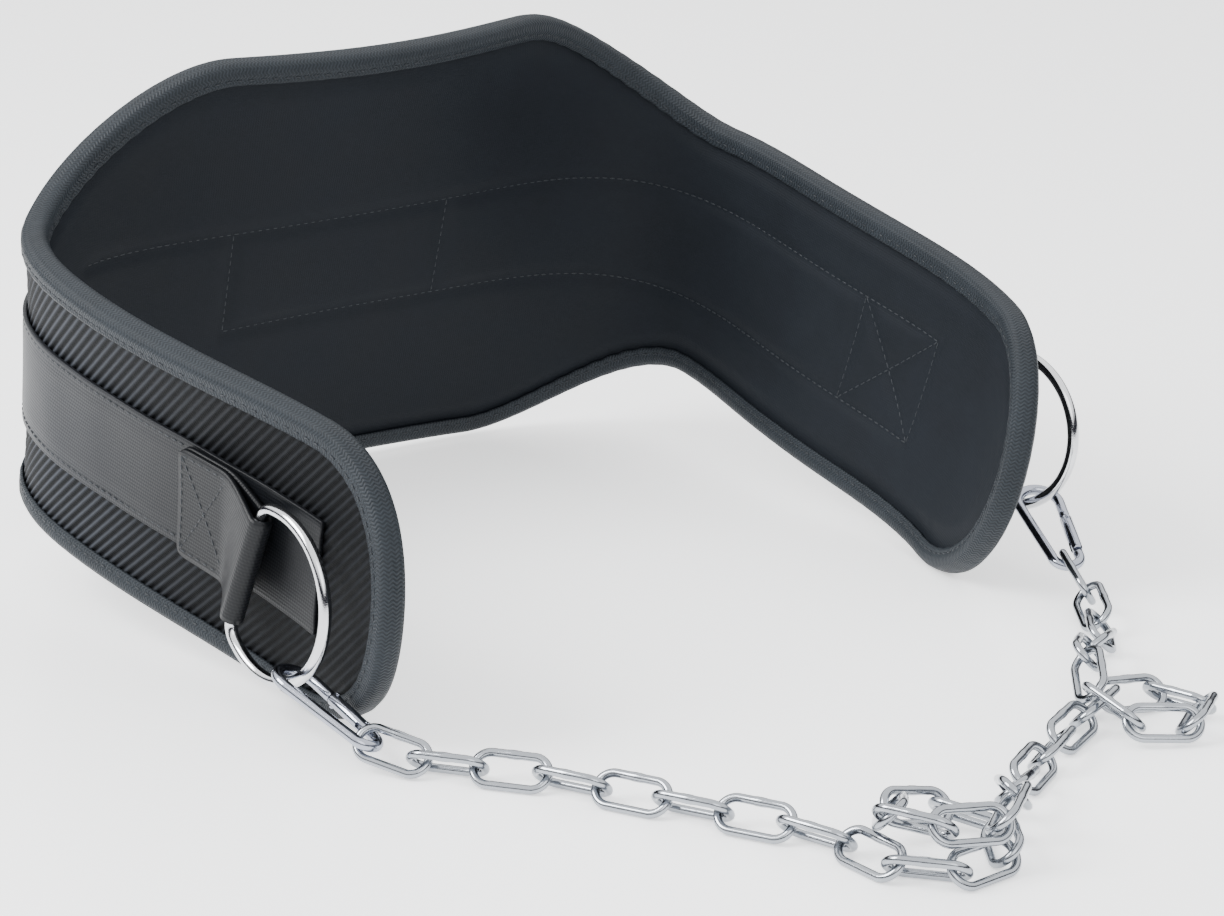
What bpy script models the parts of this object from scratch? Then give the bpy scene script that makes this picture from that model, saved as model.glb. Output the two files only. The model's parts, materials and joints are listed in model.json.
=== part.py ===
# Dip belt with a chain, standing on its lower edge.
# The soft belt is laid out flat first: x runs along the belt, y across it and z through its thickness.
# One function then bends the flat pieces to the shape in which the belt stands.
# The rings, the snap links and the chain are built straight in place.

import math

import bmesh
import bpy
from mathutils import Matrix, Vector

for old in list(bpy.data.objects):
    bpy.data.objects.remove(old, do_unlink=True)

MM = 0.001

# Belt, laid flat
BELT_LENGTH = 712 * MM
BACK_WIDTH = 176 * MM
ARM_WIDTH = 99 * MM
TAPER_FROM_MIDDLE = 60 * MM
TAPER_TO_MIDDLE = 153.5 * MM
END_ROUNDING = 46 * MM

# Layers through the thickness, measured outward from the middle of the wall
LAYER_GAP = 0.3 * MM
OUTER_GAP = 0.8 * MM
TAPE_GAP = 0.8 * MM
PAD_INNER_FACE = -4.0 * MM
PAD_OUTER_FACE = 1.0 * MM
COVER_THICKNESS = 1.3 * MM
TAPE_THICKNESS = 1.1 * MM
STRAP_THICKNESS = 1.5 * MM
COVER_INNER_FACE = PAD_OUTER_FACE + LAYER_GAP
COVER_OUTER_FACE = COVER_INNER_FACE + COVER_THICKNESS
STRAP_INNER_FACE = COVER_OUTER_FACE + OUTER_GAP
STRAP_OUTER_FACE = STRAP_INNER_FACE + STRAP_THICKNESS
TAPE_OUTER_LEAF = COVER_OUTER_FACE + TAPE_GAP + TAPE_THICKNESS
TAPE_INNER_LEAF = -TAPE_OUTER_LEAF
PAD_PRESSED_FACE = TAPE_INNER_LEAF + TAPE_THICKNESS + TAPE_GAP

# Binding, webbing and the loops of the rings
TAPE_LEAF_WIDTH = 7.5 * MM
TAPE_FOLD_ROUNDING = 2.2 * MM
PRESSED_MARGIN = TAPE_LEAF_WIDTH + 1.6 * MM
FULL_MARGIN = PRESSED_MARGIN + 3 * MM
EDGE_INSET = TAPE_THICKNESS + TAPE_GAP
STRAP_WIDTH = 40 * MM
STRAP_END_FROM_TIP = 38 * MM
LOOP_SEAM_FROM_TIP = 101 * MM
LOOP_SEAM_LENGTH = 24 * MM
LOOP_PLAY_ON_BAR = 0.5 * MM
LOOP_WIDTH_ON_BAR = 38 * MM

# Rings
RING_WIRE = 4.0 * MM
RING_BAR = 44.7 * MM
RING_ROUND = 26.9 * MM
RING_CORNER = 3.2 * MM

# Snap links, x along the link from its ring end, y toward its gate
SNAP_LENGTH = 44 * MM
SNAP_WIRE = 3.6 * MM
SNAP_RING_BOW = 7.4 * MM
SNAP_CHAIN_BOW = 4.8 * MM
SNAP_RING_PLAY = 2.2 * MM
SNAP_CHAIN_PLAY = 0.5 * MM
GATE_WIRE = 4.2 * MM
GATE_START = 18.0 * MM
GATE_END_FROM_TIP = 9.2 * MM
GATE_END = SNAP_LENGTH - GATE_END_FROM_TIP
NOSE_GAP = 0.5 * MM
HINGE_FROM_TIP = 10.4 * MM
HINGE_PLACE = SNAP_LENGTH - HINGE_FROM_TIP
FRAME_END_FROM_TIP = 8.1 * MM
HINGE_FRAME_END = SNAP_LENGTH - FRAME_END_FROM_TIP
TANG_THICKNESS = 1.2 * MM
TANG_HALF_HEIGHT = 1.6 * MM
TANG_REACH = 1.4 * MM
TANG_CLEARANCE = 0.3 * MM
GATE_SLOT_DEPTH = 2.4 * MM
HINGE_PIN = 1.4 * MM
CATCH_PIN = 1.3 * MM
CATCH_PIN_LENGTH = 5.4 * MM
CATCH_PIN_INSET = 1.2 * MM

# Chain
LINK_WIRE = 2.7 * MM
LINK_INNER_LENGTH = 20.5 * MM
LINK_OUTER_WIDTH = 13.0 * MM
LINK_ROLL = 45.0

# Way in which the belt stands
FORWARD_TILT = 0.201
BOW_SPAN = 60 * MM
START_X = -119 * MM
START_Y = -53.2 * MM
START_Z = 52.6 * MM
START_HEADING = 82.4

# Turn of the belt along its length, evenly spaced from the left tip to the right tip: turn rate per metre
TURN_RATES = (
    5.24, 4.45, 1.80, -0.64, -4.05, -21.28, -16.66, -3.11, 0.78, -0.81,
    1.07, -8.00, -23.91, -9.99, 1.99, 1.21, -5.76, -9.31, -10.17,
)

# Lean of the wall, evenly spaced from tip to tip: outward lean of the middle line, outward bow of the edges
LEAN_AND_BOW = (
    (-0.008, -0.093),
    (0.056, 0.111),
    (0.002, 0.001),
    (-0.139, -0.014),
    (0.020, 0.007),
    (0.175, -0.065),
    (0.127, -0.156),
)

# Place of each ring: side, distance from the tip, height across the belt, stand-off, turn about three axes
RING_PLACES = (
    ("left", -1, 63.6 * MM, -5.8 * MM, 12.6 * MM, (-0.130, -0.093, -0.155)),
    ("right", 1, 62.0 * MM, 0.1 * MM, 10.6 * MM, (-0.068, -0.261, 0.131)),
)

# Where each snap link hangs: side, ring, angle round the ring, place of the first link's wire in mm, roll
SNAP_PLACES = (
    ("left", 0, -38.2, (-125.8, -46.9, 8.8), -22.3),
    ("right", 1, -52.1, (141.2, -68.7, 12.9), 30.9),
)

# Way of the chain over the floor from the left snap link: x, y and height in mm,
# links up to this place, extra roll of these links in degrees
CHAIN_WAY = (
    (-117.6, -61.2, 5.4, 1, 0),
    (-93.6, -92.2, 5.2, 2, 0),
    (-76.0, -126.9, 5.2, 2, 0),
    (-58.1, -161.9, 5.4, 2, 0),
    (-51.5, -180.1, 5.0, 1, 0),
    (-50.6, -199.3, 5.1, 1, -1),
    (-38.8, -213.3, 5.1, 1, 0),
    (-20.6, -212.9, 5.2, 1, 0),
    (-10.5, -197.3, 5.6, 1, 0),
    (-16.8, -181.7, 6.8, 1, -1),
    (-35.3, -179.9, 11.3, 1, -2),
    (-47.0, -193.0, 16.8, 1, -1),
    (-40.4, -206.8, 16.5, 1, -2),
    (-23.3, -212.6, 15.3, 1, 1),
    (-7.7, -201.9, 16.1, 1, -1),
    (3.1, -188.3, 8.8, 1, 0),
    (18.5, -178.0, 5.0, 1, 0),
    (47.9, -162.8, 5.0, 2, 0),
    (78.8, -150.4, 6.6, 2, 0),
    (96.9, -154.3, 5.0, 1, 0),
    (100.0, -171.1, 5.8, 1, 2),
    (85.4, -180.2, 6.3, 1, 0),
    (70.8, -171.5, 7.2, 1, 0),
    (70.5, -152.5, 11.1, 1, 0),
    (81.8, -138.3, 15.0, 1, 0),
    (96.5, -125.8, 10.9, 1, 0),
    (111.6, -115.6, 6.2, 1, 0),
    (124.1, -101.0, 5.6, 1, 0),
    (134.8, -84.4, 8.0, 1, 0),
)
# Links from the end of the way to the right snap link, and their extra roll in degrees
WAY_TO_RIGHT_SNAP = (1, 12)

BODY_COLUMNS = 34
LINK_SIDES = 6
LINK_BOW_STEPS = 4


def make_material(name, colour, metallic, roughness):
    material = bpy.data.materials.new(name)
    material.use_nodes = True
    shader = material.node_tree.nodes["Principled BSDF"]
    shader.inputs["Base Color"].default_value = (*colour, 1.0)
    shader.inputs["Metallic"].default_value = metallic
    shader.inputs["Roughness"].default_value = roughness
    material.diffuse_color = (*colour, 1.0)
    return material


LINING_CLOTH = make_material("lining cloth", (0.022, 0.030, 0.038), 0.0, 0.75)
RIBBED_CLOTH = make_material("ribbed cloth", (0.018, 0.020, 0.028), 0.0, 0.7)
BINDING_TAPE = make_material("binding tape", (0.030, 0.040, 0.048), 0.0, 0.6)
STRAP_WEBBING = make_material("strap webbing", (0.040, 0.046, 0.054), 0.0, 0.6)
RING_STEEL = make_material("ring steel", (0.80, 0.80, 0.80), 1.0, 0.15)
SNAP_STEEL = make_material("snap link steel", (0.72, 0.73, 0.75), 1.0, 0.2)
CHAIN_STEEL = make_material("chain steel", (0.70, 0.71, 0.72), 1.0, 0.25)

belt_collection = bpy.data.collections.new("dip belt")
bpy.context.scene.collection.children.link(belt_collection)
cutter_collection = bpy.data.collections.new("cutters")
bpy.context.scene.collection.children.link(cutter_collection)


def keep(obj, name, material, smooth):
    """Name a finished object, give it its material and put it in the belt's collection."""
    obj.name = name
    obj.data.name = name
    obj.data.materials.clear()
    obj.data.materials.append(material)
    for collection in list(obj.users_collection):
        collection.objects.unlink(obj)
    belt_collection.objects.link(obj)
    edit = bmesh.new()
    edit.from_mesh(obj.data)
    bmesh.ops.recalc_face_normals(edit, faces=edit.faces)
    edit.to_mesh(obj.data)
    edit.free()
    for face in obj.data.polygons:
        face.use_smooth = smooth
    return obj


def grid_value(values, share):
    """Straight-line reading of evenly spaced values at a share from 0 to 1."""
    at = min(max(share, 0.0), 1.0) * (len(values) - 1)
    low = min(int(at), len(values) - 2)
    return values[low] + (values[low + 1] - values[low]) * (at - low)


def smooth_value(values, share):
    """Smooth reading of evenly spaced values at a share from 0 to 1."""
    at = min(max(share, 0.0), 1.0) * (len(values) - 1)
    low = min(int(at), len(values) - 2)
    t = at - low
    p1 = values[low]
    p2 = values[low + 1]
    p0 = values[low - 1] if low > 0 else 2 * p1 - p2
    p3 = values[low + 2] if low + 2 < len(values) else 2 * p2 - p1
    m1 = (p2 - p0) / 2
    m2 = (p3 - p1) / 2
    return (
        (2 * t ** 3 - 3 * t ** 2 + 1) * p1
        + (t ** 3 - 2 * t ** 2 + t) * m1
        + (-2 * t ** 3 + 3 * t ** 2) * p2
        + (t ** 3 - t ** 2) * m2
    )


def walk_the_plan(step):
    """Points and headings of the middle line seen from above, one every step."""
    count = int(round(BELT_LENGTH / step))
    x = START_X
    y = START_Y
    heading = math.radians(START_HEADING)
    stops = [(x, y, heading)]
    for index in range(count):
        rate = grid_value(TURN_RATES, (index + 0.5) / count)
        middle = heading + rate * step / 2
        x += math.cos(middle) * step
        y += math.sin(middle) * step
        heading += rate * step
        stops.append((x, y, heading))
    return stops


PLAN_STEP = 1 * MM
PLAN = walk_the_plan(PLAN_STEP)


def bend(along, across, outward):
    """Place of a point of the flat belt on the standing belt."""
    share = along / BELT_LENGTH
    at = min(max(share, 0.0), 1.0) * (len(PLAN) - 1)
    low = min(int(at), len(PLAN) - 2)
    t = at - low
    here = PLAN[low]
    there = PLAN[low + 1]
    heading = here[2] + (there[2] - here[2]) * t
    lean = smooth_value([row[0] for row in LEAN_AND_BOW], share)
    bow = smooth_value([row[1] for row in LEAN_AND_BOW], share)
    reach = across / BOW_SPAN
    slope = math.atan(lean + 2 * bow * reach)
    offset = (lean * across + bow * across * reach + outward) * math.cos(slope)
    height = across * math.cos(math.atan(lean + bow * reach)) - outward * math.sin(slope)
    x = here[0] + (there[0] - here[0]) * t - math.sin(heading) * offset
    y = here[1] + (there[1] - here[1]) * t + math.cos(heading) * offset
    tilt_cos = math.cos(FORWARD_TILT)
    tilt_sin = math.sin(FORWARD_TILT)
    return Vector((x, y * tilt_cos - height * tilt_sin, y * tilt_sin + height * tilt_cos + START_Z))


def bend_object(obj):
    """Bend a flat piece to the shape of the standing belt."""
    for vertex in obj.data.vertices:
        vertex.co = bend(vertex.co.x, vertex.co.y, vertex.co.z)
    obj.data.update()
    return obj


def half_width(along):
    """Half of the flat belt's width, without the rounding of its ends."""
    from_middle = abs(along - BELT_LENGTH / 2)
    t = (from_middle - TAPER_FROM_MIDDLE) / (TAPER_TO_MIDDLE - TAPER_FROM_MIDDLE)
    t = min(max(t, 0.0), 1.0)
    wide = 1 - t * t * (3 - 2 * t)
    return (ARM_WIDTH + (BACK_WIDTH - ARM_WIDTH) * wide) / 2


def body_columns(count):
    """Places along the belt between the rounded ends, closer together where it turns or widens."""
    start = END_ROUNDING
    end = BELT_LENGTH - END_ROUNDING
    fine = 400
    shares = [0.0]
    for index in range(fine):
        along = start + (end - start) * (index + 0.5) / fine
        turn = abs(grid_value(TURN_RATES, along / BELT_LENGTH))
        taper = abs(half_width(along + 2 * MM) - half_width(along - 2 * MM)) / (4 * MM)
        shares.append(shares[-1] + 1 + turn * 0.16 + taper * 1.5)
    places = []
    low = 0
    for column in range(count + 1):
        wanted = shares[-1] * column / count
        while low < fine - 1 and shares[low + 1] < wanted:
            low += 1
        part = (wanted - shares[low]) / (shares[low + 1] - shares[low])
        places.append(start + (end - start) * (low + part) / fine)
    places[0] = start
    places[-1] = end
    return places


COLUMNS = body_columns(BODY_COLUMNS)


def cap_point(depth, across_share, inset):
    """Place in a rounded end: depth from 0 at the straight part to 1 at the tip, rows kept parallel."""
    ring = max(depth, abs(across_share))
    if ring == 0:
        return 0.0, 0.0
    if depth > abs(across_share):
        angle = math.pi / 4 * across_share / depth
    else:
        angle = math.copysign(math.pi / 2 - math.pi / 4 * depth / abs(across_share), across_share)
    forward = (END_ROUNDING - inset) * ring * math.cos(angle)
    sideways = (ARM_WIDTH / 2 - inset) * ring * math.sin(angle)
    return forward, sideways


def flat_sheet(inset, margins):
    """Sheet with the belt's outline, drawn in by the inset, with rows at margins from the edge."""
    cap_columns = len(margins) + 1
    total = BODY_COLUMNS + 2 * cap_columns
    rows = 2 * (len(margins) + 2)
    bpy.ops.mesh.primitive_grid_add(x_subdivisions=total, y_subdivisions=rows, size=2)
    sheet = bpy.context.active_object
    arm = ARM_WIDTH / 2 - inset
    arm_shares = [1.0] + [(arm + inset - margin) / arm for margin in margins] + [STRAP_WIDTH / 2 / arm]
    for vertex in sheet.data.vertices:
        column = int(round((vertex.co.x + 1) / 2 * total))
        row = int(round((vertex.co.y + 1) / 2 * rows))
        from_edge = min(row, rows - row)
        side = -1 if row < rows / 2 else 1
        end = -1 if column < cap_columns else 1
        depth_at = min(column, total - column)
        if depth_at < cap_columns:
            share = 0.0 if from_edge == rows // 2 else side * arm_shares[from_edge]
            forward, sideways = cap_point(arm_shares[depth_at], share, inset)
            middle = END_ROUNDING if end < 0 else BELT_LENGTH - END_ROUNDING
            vertex.co = (middle + end * forward, sideways, 0)
            continue
        along = COLUMNS[column - cap_columns]
        half = half_width(along)
        places = [half - inset] + [half - margin for margin in margins] + [STRAP_WIDTH / 2, 0.0]
        vertex.co = (along, side * places[from_edge], 0)
    return sheet


def thicken(sheet, low, high):
    """Give a flat sheet its two faces, at low and high."""
    for vertex in sheet.data.vertices:
        vertex.co.z = low
    solidify = sheet.modifiers.new("thickness", "SOLIDIFY")
    solidify.thickness = high - low
    solidify.offset = 1.0
    bpy.context.view_layer.objects.active = sheet
    bpy.ops.object.modifier_apply(modifier=solidify.name)
    return sheet


def edge_distance(along, across):
    """Distance from a point of the flat belt to its edge."""
    from_tip = min(along, BELT_LENGTH - along)
    if from_tip >= END_ROUNDING:
        return half_width(along) - abs(across)
    forward = (END_ROUNDING - from_tip) / END_ROUNDING
    sideways = across / (ARM_WIDTH / 2)
    return (1 - math.hypot(forward, sideways)) * END_ROUNDING


# Pad, pressed thinner under the binding
pad = thicken(flat_sheet(EDGE_INSET, (PRESSED_MARGIN, FULL_MARGIN)), PAD_INNER_FACE, PAD_OUTER_FACE)
for vertex in pad.data.vertices:
    if vertex.co.z < 0 and edge_distance(vertex.co.x, vertex.co.y) < (PRESSED_MARGIN + FULL_MARGIN) / 2:
        vertex.co.z = PAD_PRESSED_FACE
keep(bend_object(pad), "lining_pad", LINING_CLOTH, False)

# Ribbed cover
cover = thicken(flat_sheet(EDGE_INSET, (FULL_MARGIN,)), COVER_INNER_FACE, COVER_OUTER_FACE)
keep(bend_object(cover), "ribbed_cover", RIBBED_CLOTH, False)


def curve_object(name, points, closed):
    """Curve through straight steps between the given points."""
    curve = bpy.data.curves.new(name, "CURVE")
    curve.dimensions = "3D"
    curve.twist_mode = "MINIMUM"
    spline = curve.splines.new("POLY")
    spline.points.add(len(points) - 1)
    for slot, point in zip(spline.points, points):
        slot.co = (point[0], point[1], point[2], 1.0)
    spline.use_cyclic_u = closed
    obj = bpy.data.objects.new(name, curve)
    bpy.context.scene.collection.objects.link(obj)
    return obj


def mesh_of(curve_obj):
    """Mesh made from a curve, welded and closed; the curve is removed."""
    bpy.context.view_layer.update()
    graph = bpy.context.evaluated_depsgraph_get()
    mesh = bpy.data.meshes.new_from_object(curve_obj.evaluated_get(graph))
    obj = bpy.data.objects.new(curve_obj.name, mesh)
    bpy.context.scene.collection.objects.link(obj)
    bpy.data.objects.remove(curve_obj, do_unlink=True)
    edit = bmesh.new()
    edit.from_mesh(mesh)
    bmesh.ops.remove_doubles(edit, verts=edit.verts, dist=0.00002)
    edit.to_mesh(mesh)
    edit.free()
    return obj


def wire_object(name, points, closed, diameter, sides):
    """Round wire along the given points."""
    path = curve_object(name, points, closed)
    path.data.bevel_depth = diameter / 2
    path.data.bevel_resolution = (sides - 4) // 2
    path.data.use_fill_caps = not closed
    return mesh_of(path)


def outline_points():
    """Outline of the flat belt, once round from the start of the left end's lower side."""
    arm = ARM_WIDTH / 2
    full = 45.0 * (arm - FULL_MARGIN) / (arm - EDGE_INSET)
    strap = 45.0 * STRAP_WIDTH / 2 / (arm - EDGE_INSET)
    turns = (90.0, 90.0 - strap, 90.0 - full, 45.0, full, strap, 0.0)
    turns = turns + tuple(-angle for angle in reversed(turns[:-1]))
    points = []
    for turn in turns:
        angle = math.radians(turn)
        points.append((
            END_ROUNDING - END_ROUNDING * math.cos(angle),
            -arm * math.sin(angle),
            0,
        ))
    for along in COLUMNS[1:-1]:
        points.append((along, half_width(along), 0))
    for turn in turns:
        angle = math.radians(turn)
        points.append((
            BELT_LENGTH - END_ROUNDING + END_ROUNDING * math.cos(angle),
            arm * math.sin(angle),
            0,
        ))
    for along in reversed(COLUMNS[1:-1]):
        points.append((along, -half_width(along), 0))
    return points


def binding_section():
    """Outline of the folded tape: first value into the belt from the edge, second through the wall."""
    leaf = TAPE_LEAF_WIDTH
    tape = TAPE_THICKNESS
    turn = TAPE_FOLD_ROUNDING
    out = TAPE_OUTER_LEAF
    return (
        (leaf, -out),
        (turn, -out),
        (0, -out + turn),
        (0, out - turn),
        (turn, out),
        (leaf, out),
        (leaf, out - tape),
        (tape, out - tape),
        (tape, -out + tape),
        (leaf, -out + tape),
    )


# Binding: the folded tape drawn along the outline
section_curve = curve_object("binding section", [(a, b, 0) for a, b in binding_section()], True)
section_curve.data.dimensions = "2D"
binding_path = curve_object("edge_binding", outline_points(), True)
binding_path.data.twist_mode = "Z_UP"
binding_path.data.bevel_mode = "OBJECT"
binding_path.data.bevel_object = section_curve
binding = mesh_of(binding_path)
bpy.data.objects.remove(section_curve, do_unlink=True)
keep(bend_object(binding), "edge_binding", BINDING_TAPE, False)


def strip(low_along, high_along, width, low, high):
    """Flat strip whose columns match those of the belt's sheets."""
    places = [low_along]
    places += [a for a in COLUMNS if low_along + 2 * MM < a < high_along - 2 * MM]
    places += [high_along]
    count = len(places) - 1
    bpy.ops.mesh.primitive_grid_add(x_subdivisions=count, y_subdivisions=2, size=2)
    piece = bpy.context.active_object
    for vertex in piece.data.vertices:
        column = int(round((vertex.co.x + 1) / 2 * count))
        vertex.co = (places[column], vertex.co.y * width / 2, 0)
    return thicken(piece, low, high)


# Webbing along the outside
webbing = strip(STRAP_END_FROM_TIP, BELT_LENGTH - STRAP_END_FROM_TIP, STRAP_WIDTH,
                STRAP_INNER_FACE, STRAP_OUTER_FACE)
keep(bend_object(webbing), "waist_webbing", STRAP_WEBBING, False)


def belt_axes(along, across, outward):
    """Directions along, across and out of the belt at one place."""
    reach = 1 * MM
    here = bend(along, across, outward)
    forward = (bend(along + reach, across, outward) - bend(along - reach, across, outward)).normalized()
    up = bend(along, across + reach, outward) - bend(along, across - reach, outward)
    up = (up - forward * up.dot(forward)).normalized()
    out = (bend(along, across, outward + reach) - bend(along, across, outward - reach)).normalized()
    return here, forward, up, out


def ring_frame(place):
    """Centre of a ring's bar and the directions to its round side, along its bar and outward."""
    name, side, from_tip, across, outward, turn = place
    along = BELT_LENGTH - from_tip if side > 0 else from_tip
    here, forward, up, out = belt_axes(along, across, outward)
    axes = Matrix((forward * side, up, out)).transposed()
    turn = Vector(turn)
    spin = Matrix.Rotation(turn.length, 3, turn.normalized())
    turned = axes @ spin
    return here, turned.col[0].copy(), turned.col[1].copy(), turned.col[2].copy()


def rounded_corner(corner, before, after, radius, steps):
    """Points of an arc that rounds a corner."""
    a = (before - corner).normalized()
    b = (after - corner).normalized()
    opening = a.angle(b)
    reach = radius / math.tan(opening / 2)
    start = corner + a * reach
    end = corner + b * reach
    centre = corner + (a + b).normalized() * (radius / math.sin(opening / 2))
    points = []
    for step in range(steps + 1):
        t = step / steps
        chord = start.lerp(end, t) - centre
        points.append(centre + chord.normalized() * radius)
    return points


def ring_path():
    """Middle line of a ring in its own plane: x to the round side, y along the bar."""
    middle = math.sqrt(RING_ROUND ** 2 - RING_BAR ** 2 / 4)
    start = math.atan2(RING_BAR / 2, -middle)
    arc = []
    steps = 16
    for step in range(steps + 1):
        angle = start - 2 * start * step / steps
        arc.append(Vector((middle + RING_ROUND * math.cos(angle), RING_ROUND * math.sin(angle))))
    top = rounded_corner(arc[0], Vector((0, 0)), arc[3], RING_CORNER, 3)
    low = rounded_corner(arc[-1], arc[-4], Vector((0, 0)), RING_CORNER, 3)
    return top + arc[4:-4] + low


rings = []
for place in RING_PLACES:
    here, to_round, along_bar, out = ring_frame(place)
    points = [here + to_round * p.x + along_bar * p.y for p in ring_path()]
    ring = wire_object("ring", points, True, RING_WIRE, 8)
    rings.append(keep(ring, "d_ring_" + place[0], RING_STEEL, True))


def loop_row(place, share):
    """One line of the loop's cloth, both faces, at a share from -1 to 1 across the strap."""
    name, side, from_tip, across_middle, outward_middle, turn = place
    here, to_round, along_bar, out = ring_frame(place)
    across = share * STRAP_WIDTH / 2
    low_face = STRAP_OUTER_FACE + OUTER_GAP
    thick = STRAP_THICKNESS
    inner = RING_WIRE / 2 + LOOP_PLAY_ON_BAR

    def sewn(from_tip_here, outward):
        along = BELT_LENGTH - from_tip_here if side > 0 else from_tip_here
        return bend(along, across, outward)

    def round_bar(angle, radius):
        direction = to_round * math.cos(angle) + out * math.sin(angle)
        return here + along_bar * share * LOOP_WIDTH_ON_BAR / 2 + direction * radius

    seam = LOOP_SEAM_FROM_TIP
    seam_end = LOOP_SEAM_FROM_TIP - LOOP_SEAM_LENGTH
    top = low_face + 2 * thick + LAYER_GAP
    upper_inner = low_face + thick + LAYER_GAP
    outside = [sewn(seam, top), sewn(seam - LOOP_SEAM_LENGTH / 2, top), sewn(seam_end, top)]
    outside += [round_bar(math.radians(a), inner + thick) for a in (112, 76, 38, 0, -38, -72, -98)]
    outside += [sewn(seam_end, low_face), sewn(seam - LOOP_SEAM_LENGTH / 2, low_face), sewn(seam, low_face)]
    inside = [sewn(seam, upper_inner), sewn(seam - LOOP_SEAM_LENGTH / 2, upper_inner)]
    inside += [sewn(seam_end, upper_inner)]
    inside += [round_bar(math.radians(a), inner) for a in (112, 76, 38, 0, -38, -72, -98)]
    inside += [sewn(seam_end, low_face + thick)]
    inside += [sewn(seam - LOOP_SEAM_LENGTH / 2, low_face + thick), sewn(seam, low_face + thick)]
    return outside, inside


def loop_object(place):
    """Strap folded round the bar: one sheet bent to its path and closed along its four edges."""
    shares = (-1.0, -0.5, 0.0, 0.5, 1.0)
    rows = [loop_row(place, share) for share in shares]
    count = len(rows[0][0])
    bpy.ops.mesh.primitive_grid_add(x_subdivisions=count - 1, y_subdivisions=len(shares) - 1, size=2)
    piece = bpy.context.active_object
    thicken(piece, 0, 1)
    for vertex in piece.data.vertices:
        column = int(round((vertex.co.x + 1) / 2 * (count - 1)))
        row = int(round((vertex.co.y + 1) / 2 * (len(shares) - 1)))
        face = 0 if vertex.co.z > 0.5 else 1
        vertex.co = rows[row][face][column]
    return piece


for place in RING_PLACES:
    keep(loop_object(place), "ring_loop_" + place[0], STRAP_WEBBING, False)


def in_place(frame, x, y, z=0.0):
    """Point of a frame given by its origin and its three directions."""
    return frame[0] + frame[1] * x + frame[2] * y + frame[3] * z


def ring_point(place, angle):
    """Point on the middle line of a ring's round side, and the direction of its wire there."""
    here, to_round, along_bar, out = ring_frame(place)
    middle = math.sqrt(RING_ROUND ** 2 - RING_BAR ** 2 / 4)
    angle = math.radians(angle)
    at = here + to_round * (middle + RING_ROUND * math.cos(angle)) + along_bar * RING_ROUND * math.sin(angle)
    way = to_round * -math.sin(angle) + along_bar * math.cos(angle)
    return at, way


SNAP_RING_SEAT = SNAP_WIRE + SNAP_RING_PLAY + RING_WIRE / 2
SNAP_CHAIN_SEAT = SNAP_LENGTH - SNAP_WIRE - SNAP_CHAIN_PLAY - LINK_WIRE / 2


def snap_frame(place):
    """Frame of a snap link: its ring end, along it, toward its gate and square to it."""
    name, ring_index, angle, chain_end, roll = place
    seat, wire_way = ring_point(RING_PLACES[ring_index], angle)
    along = (Vector(chain_end) * MM - seat).normalized()
    square = (wire_way - along * wire_way.dot(along)).normalized()
    square = Matrix.Rotation(math.radians(roll), 3, along) @ square
    toward_gate = square.cross(along)
    return seat - along * SNAP_RING_SEAT, along, toward_gate, square


RING_BOW_X = SNAP_WIRE / 2 + SNAP_RING_BOW
CHAIN_BOW_X = SNAP_LENGTH - SNAP_WIRE / 2 - SNAP_CHAIN_BOW
SNAP_TAPER = math.asin((SNAP_RING_BOW - SNAP_CHAIN_BOW) / (CHAIN_BOW_X - RING_BOW_X))


def gate_line(x):
    """Height of the gate's side of the snap link above its middle."""
    start_x = RING_BOW_X + SNAP_RING_BOW * math.sin(SNAP_TAPER)
    start_y = SNAP_RING_BOW * math.cos(SNAP_TAPER)
    return start_y - (x - start_x) * math.tan(SNAP_TAPER)


def snap_path():
    """Middle line of the frame's wire from its nose round both bows to the hinge."""
    points = [(GATE_START - NOSE_GAP, gate_line(GATE_START - NOSE_GAP))]
    for step in range(9):
        angle = math.pi / 2 - SNAP_TAPER + (math.pi + 2 * SNAP_TAPER) * step / 8
        points.append((RING_BOW_X + SNAP_RING_BOW * math.cos(angle), SNAP_RING_BOW * math.sin(angle)))
    for step in range(8):
        angle = -math.pi / 2 - SNAP_TAPER + (math.pi + 2 * SNAP_TAPER) * step / 7
        points.append((CHAIN_BOW_X + SNAP_CHAIN_BOW * math.cos(angle), SNAP_CHAIN_BOW * math.sin(angle)))
    points.append((HINGE_FRAME_END, gate_line(HINGE_FRAME_END)))
    return points


def cylinder_between(frame, start, end, diameter, sides):
    """Cylinder between two points of a frame."""
    a = in_place(frame, *start)
    b = in_place(frame, *end)
    bpy.ops.mesh.primitive_cylinder_add(vertices=sides, radius=diameter / 2, depth=(b - a).length)
    obj = bpy.context.active_object
    turn = (b - a).to_track_quat("Z", "Y").to_matrix().to_4x4()
    obj.data.transform(Matrix.Translation((a + b) / 2) @ turn)
    return obj


def block(frame, centre, size, turn):
    """Block at a place in a frame, turned about the frame's third direction."""
    bpy.ops.mesh.primitive_cube_add(size=1)
    obj = bpy.context.active_object
    for vertex in obj.data.vertices:
        x = vertex.co.x * size[0]
        y = vertex.co.y * size[1]
        turned_x = x * math.cos(turn) - y * math.sin(turn)
        turned_y = x * math.sin(turn) + y * math.cos(turn)
        turned_z = vertex.co.z * size[2]
        vertex.co = in_place(frame, centre[0] + turned_x, centre[1] + turned_y, centre[2] + turned_z)
    edit = bmesh.new()
    edit.from_mesh(obj.data)
    bmesh.ops.recalc_face_normals(edit, faces=edit.faces)
    edit.to_mesh(obj.data)
    edit.free()
    return obj


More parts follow.
